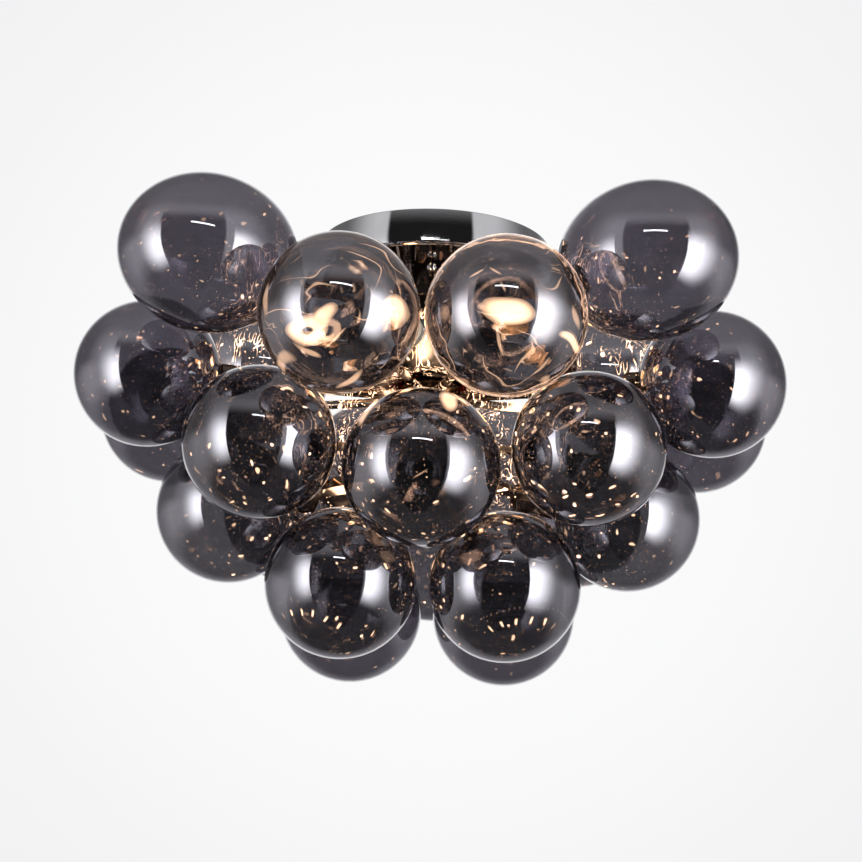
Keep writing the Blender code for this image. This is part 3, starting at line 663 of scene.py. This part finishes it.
# Globes whose glass differs from the rest of their tier, mostly in painted glints and reflections: the front
# pair, the one under it, the two lowest at the back, and those at the back whose inward faces show between
# the front ones
OWN_GLASS = {
    ("upper", 1): "left", ("upper", 2): "right", ("middle", 1): "front", ("bottom", 2): "under",
    ("bottom", 3): "under", ("top", 2): "far", ("top", 3): "far", ("upper", 5): "far", ("upper", 6): "far",
}


def globe_shape(tier):
    """Radius across the neck, and how much longer the globe is along it."""
    if tier == "top":
        return TOP_GLOBE_RADIUS, TOP_STRETCH_SHARE
    return GLOBE_RADIUS, 1.0


def cup_back(tier):
    """From a globe's middle to the back of its cup."""
    radius, stretch = globe_shape(tier)
    return radius * stretch + NECK_LENGTH + GAP + CUP_FLOOR


def globe(tier, number, matrix):
    """A blown shell with a rolled neck. Its inner face wanders a little, as blown glass does."""
    radius, stretch = globe_shape(tier)
    inner = radius - GLASS_WALL
    inner_stretch = (radius * stretch - GLASS_WALL) / inner
    bore = NECK_RADIUS - GLASS_WALL
    mouth = radius * stretch + NECK_LENGTH
    inner_start = math.degrees(math.asin(bore / inner))
    outer_start = math.degrees(math.asin(NECK_RADIUS / radius))
    inside = [(x, z * inner_stretch) for x, z in arc(inner, inner_start + 3.0, 180, GLOBE_ARC - 4)]
    outside = [(x, z * stretch) for x, z in arc(radius, 180, outer_start + 2.0, GLOBE_ARC)]
    bore_foot = math.sqrt(inner ** 2 - bore ** 2) * inner_stretch + BORE_STEP
    neck_foot = math.sqrt(radius ** 2 - NECK_RADIUS ** 2) * stretch + NECK_STEP
    rim = rounded([outside[-1], (NECK_RADIUS, neck_foot), (NECK_RADIUS, mouth), (bore, mouth),
                   (bore, bore_foot), inside[0]], NECK_ROUNDING, 3)
    points = outside[:-1] + rim + inside[1:]
    first_inner = len(outside) - 1 + len(rim) - 1
    across = (matrix.to_3x3().transposed() @ Vector((0.0, 0.0, 1.0))).cross(Vector((0.0, 0.0, 1.0)))

    def blown(index, place):
        if index > first_inner:
            wander = noise.noise((matrix @ place) * WANDER_SCALE)
            place = place * (1.0 + WANDER * wander * min(1.0, (index - first_inner) / 6))
        if tier == "top":
            # the top globes lie a little flat: wider from side to side than they are high
            free = min(1.0, max(0.0, (neck_foot - place.z) / FLAT_FADE))
            place = place + across * across.dot(place) * (TOP_ACROSS_SHARE - 1.0) * free
            if place.z < 0.0:
                place.z *= 1.0 - 2.0 * (1.0 - TOP_ALONG_SHARE)
        return place

    bm = bmesh.new()
    turn_into(bm, points, GLOBE_STEPS, matrix, moved=blown, second_from=first_inner)
    kind = OWN_GLASS.get((tier, number), tier)
    obj = finish_mesh(f"globe_glass_{tier}_{number}", bm, FILMS.get(kind, FILM), sharp=60.0,
                      second=INNER[kind])
    dress(obj, "fixture", "smoked_glass", f"globe_{tier}_{number}")


def arm_profile(tier, arm_length):
    """Rod, collar and cup in one profile, from the hub to the cup's mouth."""
    radius, stretch = globe_shape(tier)
    back = cup_back(tier)
    inside = NECK_RADIUS + CUP_ROOM
    outside = inside + CUP_WALL + 0.0002
    mouth = math.sqrt(radius ** 2 - inside ** 2) * stretch + GAP
    seat = back - CUP_FLOOR
    rod_end = back + arm_length + ARM_SINK
    collar = rod_end - ARM_SINK - COLLAR_LENGTH
    collar_radius = ARM_RADIUS + COLLAR_STEP
    return rounded([
        (0.0, rod_end), (collar_radius, rod_end), (collar_radius, collar), (ARM_RADIUS, collar),
        (ARM_RADIUS, back + CUP_FLARE + 0.0012), (ARM_RADIUS + 0.0006, back + CUP_FLARE),
        (outside - 0.0008, back + 0.0004), (outside, back - 0.0006), (outside, mouth), (inside, mouth),
        (inside, seat), (0.0, seat),
    ], 0.0006, 3)


def globe_middle(tier, bearing, hub_radius, hub_drop, arm_length, tilt):
    return spot(bearing, hub_radius, hub_drop) + outward(bearing, tilt) * (arm_length + cup_back(tier))


def globe_ring(bm, tier, bearings, *reach):
    """A tier's globes and arms. The reach is its hub's radius and drop, and its arms' length and tilt."""
    for number, bearing in enumerate(bearings, 1):
        matrix = facing(globe_middle(tier, bearing, *reach), -outward(bearing, reach[-1]))
        globe(tier, number, matrix)
        turn_into(bm, arm_profile(tier, reach[-2]), 28, matrix)


def pair_bearings():
    reach = UPPER_HUB[0] + UPPER_ARM + cup_back("upper")
    half = math.degrees(math.asin((GLOBE_RADIUS + PAIR_SPACING / 2) / reach))
    return [side + turn for side in SIDES for turn in (-half, half)]


def hub_reach(tier):
    """What globe_middle and globe_ring need to know of a hub."""
    (radius, height, _), top, arm_length, tilt = TIERS[tier]
    return radius, top + height / 2, arm_length, tilt


def arm_hub(tier, bearings):
    (radius, height, boss), top = TIERS[tier][:2]
    bore, bottom = STEM_RADIUS + GAP, top + height
    depth, shoulder = 0.0009, 0.0022
    points = [(bore, -top), (radius, -top), *groove(radius, -top - shoulder, depth),
              *groove(radius, -bottom + shoulder + GROOVE_WIDTH, depth), (radius, -bottom)]
    if boss:
        points += [(bore + BOSS_WALL, -bottom), (bore + BOSS_WALL, -bottom - boss)]
    points += [(bore, -bottom - boss)]
    bm = bmesh.new()
    turn_into(bm, rounded(points, 0.0008, 3, closed=True), 64, closed=True)
    globe_ring(bm, tier, bearings, *hub_reach(tier))
    dress(finish_mesh(f"{tier}_spider", bm, SHADED_CHROME), "fixture", "chrome", f"{tier}_arm_hub")


def top_arm_ring():
    inner = DRUM_NECK_RADIUS + RING_ROOM
    outer = inner + RING_WALL
    bottom = GAP - DRUM_STEP
    top = bottom + RING_HEIGHT
    points = rounded([(outer, top), (outer, bottom), (inner, bottom), (inner, top)], 0.0010, 4, closed=True)
    bm = bmesh.new()
    turn_into(bm, points, 96, closed=True)
    globe_ring(bm, "top", CORNERS, outer, -(top + bottom) / 2, TOP_ARM, TOP_TILT)
    dress(finish_mesh("top_spider", bm, SHADED_CHROME), "fixture", "chrome", "top_arm_ring")


# Canopy and drum

def canopy():
    bottom = -CANOPY_DEPTH
    floor = bottom + CANOPY_WALL
    inside = CANOPY_RADIUS - CANOPY_WALL
    spigot = DRUM_NECK_RADIUS - DRUM_WALL - SPIGOT_ROOM
    corner = (CANOPY_RADIUS - CANOPY_EDGE, bottom + CANOPY_EDGE)
    points = rounded([(inside, -GAP), (CANOPY_RADIUS, -GAP), (CANOPY_RADIUS, corner[1])], 0.0005, 3)[1:]
    points += arc(CANOPY_EDGE, 90, 180, 10, corner)[1:]
    points += rounded([(corner[0], bottom), (spigot, bottom), (spigot, bottom - SPIGOT_LENGTH),
                       (spigot - CANOPY_WALL, bottom - SPIGOT_LENGTH), (spigot - CANOPY_WALL, bottom),
                       (WIRE_HOLE_RADIUS, bottom), (WIRE_HOLE_RADIUS, floor),
                       (inside - CANOPY_EDGE, floor)], 0.0004, 2)[1:]
    points += arc(CANOPY_EDGE - CANOPY_WALL / 2, 180, 90, 6,
                  (inside - CANOPY_EDGE + CANOPY_WALL / 2, floor + CANOPY_EDGE - CANOPY_WALL / 2))[1:]
    pan = turned("canopy_pan", points, 144, CHROME, closed=True, sharp=35.0)
    dress(pan, "fixture", "chrome", "canopy")


def grommet():
    outer = WIRE_HOLE_RADIUS - 0.0003
    inner, lip = outer - 0.0020, WIRE_HOLE_RADIUS + 0.0020
    top, bottom = -CANOPY_DEPTH + CANOPY_WALL + GAP, -CANOPY_DEPTH - GAP
    points = rounded([(lip, top + 0.0020), (lip, top), (outer, top), (outer, bottom), (lip, bottom),
                      (lip, bottom - 0.0020), (inner, bottom - 0.0020), (inner, top + 0.0020)],
                     0.0008, 4, closed=True)
    dress(turned("rubber_grommet", points, 48, RUBBER, closed=True), "fixture", "rubber", "wire_grommet")


def lamp_bearings():
    return [LAMP_TURN + i * 360 / LAMP_COUNT for i in range(LAMP_COUNT)]


def drum():
    neck, body = DRUM_NECK_RADIUS, DRUM_NECK_RADIUS + DRUM_STEP_WIDTH
    bore = STEM_RADIUS + GAP
    floor, shelf = DRUM_WALL - DRUM_BOTTOM, -DRUM_STEP - DRUM_WALL
    points = rounded([(neck, -DRUM_TOP), (neck, -DRUM_STEP), (body, -DRUM_STEP), (body, -DRUM_BOTTOM),
                      (bore, -DRUM_BOTTOM), (bore, floor), (body - DRUM_WALL, floor),
                      (body - DRUM_WALL, shelf), (neck - DRUM_WALL, shelf), (neck - DRUM_WALL, -DRUM_TOP)],
                     0.0007, 4, closed=True)
    shell = turned("drum_shell", points, 128, SHADED_CHROME, closed=True, sharp=35.0)
    dress(shell, "fixture", "chrome", "lamp_drum")


def screws():
    reach = CANOPY_DEPTH + SPIGOT_LENGTH / 2
    pitch, depth, turns = 0.0006, 0.0003, 10
    foot = math.degrees(math.asin(SCREW_RADIUS / BALL_HEAD_RADIUS))
    centre = GAP + math.sqrt(BALL_HEAD_RADIUS ** 2 - SCREW_RADIUS ** 2)
    recess = 0.0011
    lip = math.degrees(math.asin(recess / BALL_HEAD_RADIUS))
    top = centre + BALL_HEAD_RADIUS * math.cos(math.radians(lip))
    points = [(0.0, top - 0.0016), (recess, top - 0.0014)]
    points += arc(BALL_HEAD_RADIUS, lip, 180 - foot, 14, (0.0, centre))
    for i in range(turns):
        z = -0.0004 - pitch * i
        points += [(SCREW_RADIUS, z), (SCREW_RADIUS - depth, z - pitch / 2)]
    points += [(0.0, -0.0065)]
    for number, bearing in enumerate(SIDES, 1):
        place = facing(spot(bearing, DRUM_NECK_RADIUS, reach), outward(bearing))
        obj = turned(f"ball_screw_{number}", points, 32, CHROME, place, sharp=38.0)
        dress(obj, f"drum_screw_{number}_body", "chrome", f"drum_screw_{number}")
    head, height, recess = 0.0034, 0.0022, 0.0013
    points = [(0.0, GAP + height - 0.0014), (recess, GAP + height - 0.0012)]
    points += rounded([(recess, GAP + height), (head * 0.70, GAP + height), (head, GAP + height * 0.45),
                       (head, GAP), (SCREW_RADIUS, GAP), (SCREW_RADIUS, -0.0063), (0.0, -0.0063)], 0.0008, 4)
    for number, bearing in enumerate((90, 270), 1):
        place = facing(spot(bearing, CANOPY_RADIUS, CANOPY_DEPTH / 2), outward(bearing))
        obj = turned(f"canopy_screw_{number}", points, 28, CHROME, place)
        dress(obj, "fixture", "chrome", f"side_screw_{number}")


# Lamps

def lamps():
    """The sockets in the drum's wall, and their lamps, each with its base on its own body."""
    socket = LAMP_RADIUS + SOCKET_ROOM
    barrel = socket + HOLDER_WALL
    flange = barrel + HOLDER_FLANGE_WIDTH
    tail = barrel - HOLDER_SHOULDER
    mouth = GAP + HOLDER_LENGTH
    seat = mouth - SOCKET_DEPTH
    foot = seat + GAP
    glass = LAMP_RADIUS - LAMP_NECK_STEP
    base_top, end = foot + LAMP_BASE_LENGTH, foot + LAMP_LENGTH
    body = rounded([(0.0, seat), (socket, seat), (socket, mouth), (barrel, mouth),
                    *groove(barrel, mouth - 0.0034, 0.0006), (barrel, GAP + HOLDER_FLANGE + 0.0002),
                    (tail, GAP + HOLDER_FLANGE), (tail, -HOLDER_TAIL), (0.0, -HOLDER_TAIL)], 0.0005, 3)
    plate = rounded([(flange, GAP + HOLDER_FLANGE), (flange, GAP), (tail + 0.0003, GAP),
                     (tail + 0.0003, GAP + HOLDER_FLANGE)], 0.0006, 3, closed=True)
    shell = arc(glass, 12, 90, 10, (0.0, end - glass))
    nub = [(0.0, end), (glass * 0.10, end - 0.0001), (glass * 0.16, end - 0.0005)]
    shell = nub + shell + [(glass, base_top + 0.0012), (glass - 0.0016, base_top), (0.0, base_top)]
    base = rounded([(0.0, base_top - 0.0001), (LAMP_RADIUS - 0.0018, base_top - 0.0001),
                    (LAMP_RADIUS, base_top - 0.0012), (LAMP_RADIUS, foot), (0.0, foot)], 0.0006, 3)
    for number, bearing in enumerate(lamp_bearings(), 1):
        wall = DRUM_NECK_RADIUS + DRUM_STEP_WIDTH
        place = facing(spot(bearing, wall, DRUM_STEP + LAMP_STEP_MARGIN + flange), outward(bearing))
        holder = turned(f"socket_{number}", body, 40, CERAMIC, place)
        dress(holder, "fixture", "ceramic", f"lamp_holder_{number}")
        dress(turned(f"socket_flange_{number}", plate, 40, CHROME, place, closed=True), "fixture", "chrome")
        carrier = f"lamp_{number}_body"
        bulb = turned(f"bulb_{number}", shell, 32, GLOW, place, sharp=60.0)
        dress(bulb, carrier, "lamp_glass", f"lamp_{number}")
        dress(turned(f"bulb_base_{number}", base, 32, CERAMIC, place), carrier, "ceramic")


# Stem, finial and ceiling side

def finial():
    top = -FINIAL_TOP
    collar = FINIAL_RADIUS - HUB_CHAMFER
    shoulder = math.degrees(math.asin(collar / FINIAL_RADIUS))
    centre = top - FINIAL_COLLAR - math.sqrt(FINIAL_RADIUS ** 2 - collar ** 2)
    bore = STEM_RADIUS + GAP
    points = [(0.0, top - 0.0095), (bore, top - 0.0095)]
    points += rounded([(bore, top - 0.0095), (bore, top), (collar, top),
                       *groove(collar, top - 0.0014, 0.0008, 0.0005, 0.0017),
                       (collar, top - FINIAL_COLLAR)], 0.0004, 2)[1:]
    points += arc(FINIAL_RADIUS, shoulder, 180, 18, (0.0, centre))[1:]
    dress(turned("finial_knob", points, 56, CHROME, sharp=50.0), "finial_body", "chrome", "finial")


def carried_over(name, material, bevel):
    """A CAD node that keeps its shape: its edges are softened and it gets its finish."""
    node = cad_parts[name]
    node.data.materials.clear()
    node.data.materials.append(material)
    weld = node.modifiers.new("weld", "WELD")
    weld.merge_threshold = 0.00001
    if bevel:
        edges = node.modifiers.new("edges", "BEVEL")
        edges.width = bevel
        edges.segments = 3
        edges.limit_method = "ANGLE"
        edges.angle_limit = math.radians(35)


def terminal_screws():
    """Three slotted brass screws down in the terminal block's wells."""
    low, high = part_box("terminal_block")
    pitch = (high.x - low.x) / 3
    bm = bmesh.new()
    for i in range(3):
        middle = Vector((low.x + (i + 0.5) * pitch, (low.y + high.y) / 2, low.z + 0.0024))
        points = [(0.0, -0.0006), (0.0017, -0.0006), (0.0020, -0.0003), (0.0020, 0.0030), (0.0, 0.0030)]
        turn_into(bm, points[::-1], 20, Matrix.Translation(middle))
        bar = Matrix.Translation(middle + Vector((0.0, 0.0, -0.00065))) @ Matrix.Rotation(0.5 + i, 4, "Z")
        bmesh.ops.create_cube(bm, size=1.0, matrix=bar @ Matrix.Diagonal((0.0034, 0.0005, 0.0003, 1.0)))
    dress(finish_mesh("terminal_screws", bm, BRASS), "fixture", "terminal_plastic")


# Studio

CARD_LEFT, CARD_RIGHT, CARD_SOFT = -48.0, 38.0, 2.0


def studio():
    """Pale room: white behind, grey at the sides and above, dark below, and a dark card in front.

    Everything is placed by its angles seen from the light: round from the camera's side, and up.
    """
    world = bpy.data.worlds.new("studio")
    scene.world = world
    world.use_nodes = True
    world.node_tree.nodes.clear()
    n = Nodes(world.node_tree)
    way = n.new("ShaderNodeTexCoord").outputs["Generated"]
    turn = n.new("ShaderNodeVectorRotate", rotation_type="Z_AXIS")
    n.set(turn.inputs["Vector"], way)
    turn.inputs["Angle"].default_value = -math.radians(CAMERA_BEARING)
    x, y, z = n.split(turn.outputs[0])
    degrees = 180 / math.pi
    azimuth = n.times(n.math("ARCTAN2", x, n.times(y, -1.0)), degrees)
    height = n.times(n.math("ARCSINE", z), degrees)
    aside = n.math("ABSOLUTE", azimuth)

    def grey(level):
        return level * 0.985, level * 0.980, level

    room = n.mix(n.ramp(aside, 95.0, 140.0), grey(0.95), grey(0.55))
    room = n.mix(n.ramp(aside, 140.0, 158.0), room, grey(0.92))
    wings = n.times(n.ramp(aside, 58.0, 105.0), n.fall(aside, 126.0, 150.0), n.ramp(height, 2.0, 16.0))
    room = n.mix(wings, room, grey(0.22))
    room = n.mix(n.ramp(height, 28.0, 58.0), room, grey(0.38))
    room = n.mix(n.ramp(height, -12.0, -44.0), room, grey(0.075))
    card = n.times(n.ramp(azimuth, CARD_LEFT - CARD_SOFT, CARD_LEFT + CARD_SOFT),
                   n.fall(azimuth, CARD_RIGHT - CARD_SOFT, CARD_RIGHT + CARD_SOFT),
                   n.fall(height, 24.0, 48.0), n.ramp(height, -86.0, -76.0))
    room = n.mix(card, room, grey(0.020))

    lit = n.new("ShaderNodeBackground")
    n.set(lit.inputs["Color"], room)
    pitch = math.radians(CAMERA_PITCH)
    ahead = n.vector("DOT_PRODUCT", turn.outputs[0], (0.0, math.cos(pitch), math.sin(pitch)))
    seen = n.new("ShaderNodeBackground")
    bright = n.ramp(ahead, 0.955, 1.0)
    n.set(seen.inputs["Color"], n.mix(bright, (0.885, 0.885, 0.895), (0.965, 0.965, 0.968)))
    path = n.new("ShaderNodeLightPath")
    both = n.new("ShaderNodeMixShader")
    for socket, value in zip(both.inputs, (path.outputs["Is Camera Ray"], lit.outputs[0], seen.outputs[0])):
        n.set(socket, value)
    output = n.new("ShaderNodeOutputWorld")
    n.set(output.inputs["Surface"], both.outputs[0])
    world.cycles.sampling_method = "MANUAL"
    world.cycles.sample_map_resolution = 1024


def softbox(name, bearing, distance, width, low, high, level, soft):
    """An upright light panel that faces the axis, and that no camera sees.

    It fades out over its soft edges: left, right, lower and upper.
    """
    material, n = new_material(name, Base_Color=(0.0, 0.0, 0.0), Roughness=1.0, Specular_IOR_Level=0.0,
                               Emission_Color=(0.985, 0.990, 1.0), Emission_Strength=level)
    x, _, z = n.split(n.place())
    half = width / 2
    mask = n.times(n.ramp(x, -half, -half + soft[0]), n.fall(x, half - soft[1], half),
                   n.ramp(z, low, low + soft[2]), n.fall(z, high - soft[3], high))
    n.shade("Alpha", n.math("POWER", mask, 1.6))
    bm = bmesh.new()
    corners = [(-half, 0.0, low), (half, 0.0, low), (half, 0.0, high), (-half, 0.0, high)]
    bm.faces.new([bm.verts.new(corner) for corner in corners])
    obj = finish_mesh(name, bm, material)
    angle = math.radians(bearing + CAMERA_BEARING)
    obj.matrix_world = (Matrix.Translation((math.sin(angle) * distance, -math.cos(angle) * distance, 0.0))
                        @ Matrix.Rotation(angle, 4, "Z"))
    obj.visible_camera = False
    return obj


def lights():
    """Two strips at the sides, and a small bar high in front that gives each globe its short highlight."""
    softbox("strip_left", bearing=-61.0, distance=0.9, width=0.58, low=-0.90, high=0.36, level=6.6,
            soft=(0.46, 0.03, 0.60, 0.52))
    softbox("strip_right", bearing=59.0, distance=0.9, width=0.86, low=-1.15, high=0.36, level=9.4,
            soft=(0.05, 0.74, 0.75, 0.52))
    bar = softbox("bar", bearing=-0.8, distance=1.0, width=0.46, low=0.205, high=0.240, level=16.0,
                  soft=(0.01, 0.01, 0.006, 0.006))
    bar.matrix_world = bar.matrix_world @ Matrix.Rotation(math.radians(5.0), 4, "Y")


FLOOR_HALF, FLOOR_DROP = 6.0, 2.2


def floor():
    bm = bmesh.new()
    bmesh.ops.create_grid(bm, x_segments=1, y_segments=1, size=FLOOR_HALF,
                          matrix=Matrix.Translation((0.0, 0.0, -FLOOR_DROP)))
    pale = moulded("floor", (0.80, 0.80, 0.80), (0.78, 0.78, 0.78), 0.6, 0.8, own_light=0.48)
    obj = finish_mesh("floor", bm, pale)
    obj.visible_glossy = False


# Everything, made in turn

FILM = smoke_film()
# The front pair's films: copies of the smoke film with a copper edge tint and sheen, a painted warm rim
# standing in for the lamp light inside those two globes
FILMS = {
    "left": smoke_film("smoke_film_left", edge=(0.52, 0.47, 0.45), rim=0.78, sheen=0.1),
    "right": smoke_film("smoke_film_right", edge=(0.60, 0.50, 0.44), rim=0.74, sheen=0.2),
}
CHROME = chrome()
# Arms, hubs and drum: a darker, copper-tinted copy of the chrome, painted shade and painted warm lamp light
# inside the fixture, with painted glints
SHADED_CHROME = chrome("shaded_chrome", (0.15, 0.115, 0.092), glints=1.0, edge=(0.26, 0.20, 0.16))
GLOW = lamp_glow()
CERAMIC = ceramic()
STEEL = plated_steel()
THREAD = thread_steel()
RUBBER = moulded("rubber", (0.030, 0.030, 0.031), (0.045, 0.044, 0.043), 0.55, 0.75)
TERMINAL = moulded("terminal_plastic", (0.72, 0.71, 0.68), (0.66, 0.64, 0.60), 0.38, 0.52)
BRASS = chrome("brass", (0.72, 0.55, 0.28))
# Painted lamp reflections on the front globes' inner glass: each one's place, half width and half height,
# turn and strength
LEFT_IMAGES = [
    (-0.33, -0.22, 0.22, 0.19, 20, 8.0), (-0.16, -0.10, 0.22, 0.09, 22, 6.0),
    (-0.32, -0.22, 0.065, 0.060, 0, -1.0), (0.69, 0.01, 0.14, 0.21, 10, 8.0),
    (-0.60, -0.63, 0.14, 0.085, 25, 2.2), (-0.30, -0.50, 0.18, 0.045, -30, 3.0),
    (0.19, -0.78, 0.22, 0.045, 35, 3.5), (-0.80, 0.05, 0.045, 0.24, -12, 2.2),
    (0.02, -0.36, 0.16, 0.022, 40, 3.0)]
RIGHT_IMAGES = [
    (0.00, 0.01, 0.25, 0.150, 0, 9.0), (-0.10, 0.00, 0.20, 0.060, 5, 4.0),
    (0.79, -0.32, 0.18, 0.075, -15, 7.0), (-0.04, -0.37, 0.018, 0.18, 12, 2.5),
    (0.41, -0.66, 0.17, 0.028, 40, 2.2), (0.51, -0.80, 0.13, 0.028, 30, 2.2),
    (0.80, 0.02, 0.040, 0.15, 8, 2.5), (-0.42, 0.44, 0.100, 0.016, 45, 3.0),
    (-0.20, 0.50, 0.100, 0.016, -20, 2.5), (-0.12, 0.30, 0.016, 0.080, 20, 2.5)]
FRONT_IMAGES = [
    (0.27, 0.80, 0.13, 0.15, 0, 7.0), (-0.72, 0.62, 0.16, 0.05, 45, 4.0),
    (0.02, -0.10, 0.14, 0.012, 40, 2.0)]
LAVENDER, NEUTRAL, PAIR = (0.94, 0.88, 0.995), (0.95, 0.93, 0.96), (0.94, 0.93, 0.97)
LEFT, RIGHT = [globe_middle("upper", bearing, *hub_reach("upper")) for bearing in pair_bearings()[:2]]
FRONT = globe_middle("middle", SIDES[0], *hub_reach("middle"))
LOWEST = globe_middle("bottom", CORNERS[0], *hub_reach("bottom"))
# The inner glass of each kind of globe: its tint, the depth of its waves, the distances off the axis between
# which its painted glints thin out, the strength of their spots and of their specks, and what else it has
INNER = {kind: clear_glass(f"clear_glass_{kind}", *numbers, **more) for kind, *numbers, more in (
    ("left", PAIR, 1.0, 0.100, 0.215, 0.5, 1.0, dict(images=LEFT_IMAGES, image_middle=LEFT, rim=0.5)),
    ("right", PAIR, 1.0, 0.100, 0.215, 0.5, 1.0, dict(images=RIGHT_IMAGES, image_middle=RIGHT, rim=8.5)),
    ("top", LAVENDER, 0.6, 0.150, 0.275, 1.0, 1.3, dict(threads=0.7, thread_reach=0.125, start=-0.015)),
    ("far", NEUTRAL, 0.6, 0.180, 0.225, 5.0, 6.5, dict(threads=3.4, thread_reach=0.170, start=-0.010)),
    ("upper", LAVENDER, 0.6, 0.140, 0.275, 0.8, 0.8, {}),
    ("raised", NEUTRAL, 0.5, 0.120, 0.250, 1.8, 0.8, dict(threads=0.7)),
    ("front", NEUTRAL, 0.4, 0.100, 0.180, 1.7, 1.0,
     dict(images=FRONT_IMAGES, image_middle=FRONT, swirls=0.0, threads=0.1)),
    ("middle", NEUTRAL, 0.4, 0.100, 0.180, 1.7, 1.0, dict(threads=0.6)),
    ("bottom", NEUTRAL, 0.25, 0.060, 0.100, 1.0, 1.0, dict(fan_middle=LOWEST)),
    ("under", LAVENDER, 0.25, 0.050, 0.085, 0.4, 0.5, {}))}

make_camera()
canopy()
grommet()
drum()
screws()
lamps()
top_arm_ring()
arm_hub("upper", pair_bearings())
arm_hub("raised", CORNERS)
arm_hub("middle", SIDES)
arm_hub("bottom", CORNERS)
finial()
carried_over("ceiling_strap", STEEL, 0.0003)
carried_over("terminal_block", TERMINAL, 0.0004)
carried_over("stem", THREAD, 0.0)
carried_over("stem_nut", STEEL, 0.0003)
terminal_screws()
studio()
lights()
floor()

scene.view_settings.view_transform = "Standard"
scene.view_settings.look = "None"
scene.cycles.max_bounces = 24
scene.cycles.glossy_bounces = 16
scene.cycles.transmission_bounces = 20
scene.cycles.transparent_max_bounces = 8
scene.cycles.diffuse_bounces = 3
scene.cycles.caustics_reflective = False
scene.cycles.caustics_refractive = False
scene.cycles.sample_clamp_indirect = 20.0
scene.cycles.use_denoising = True
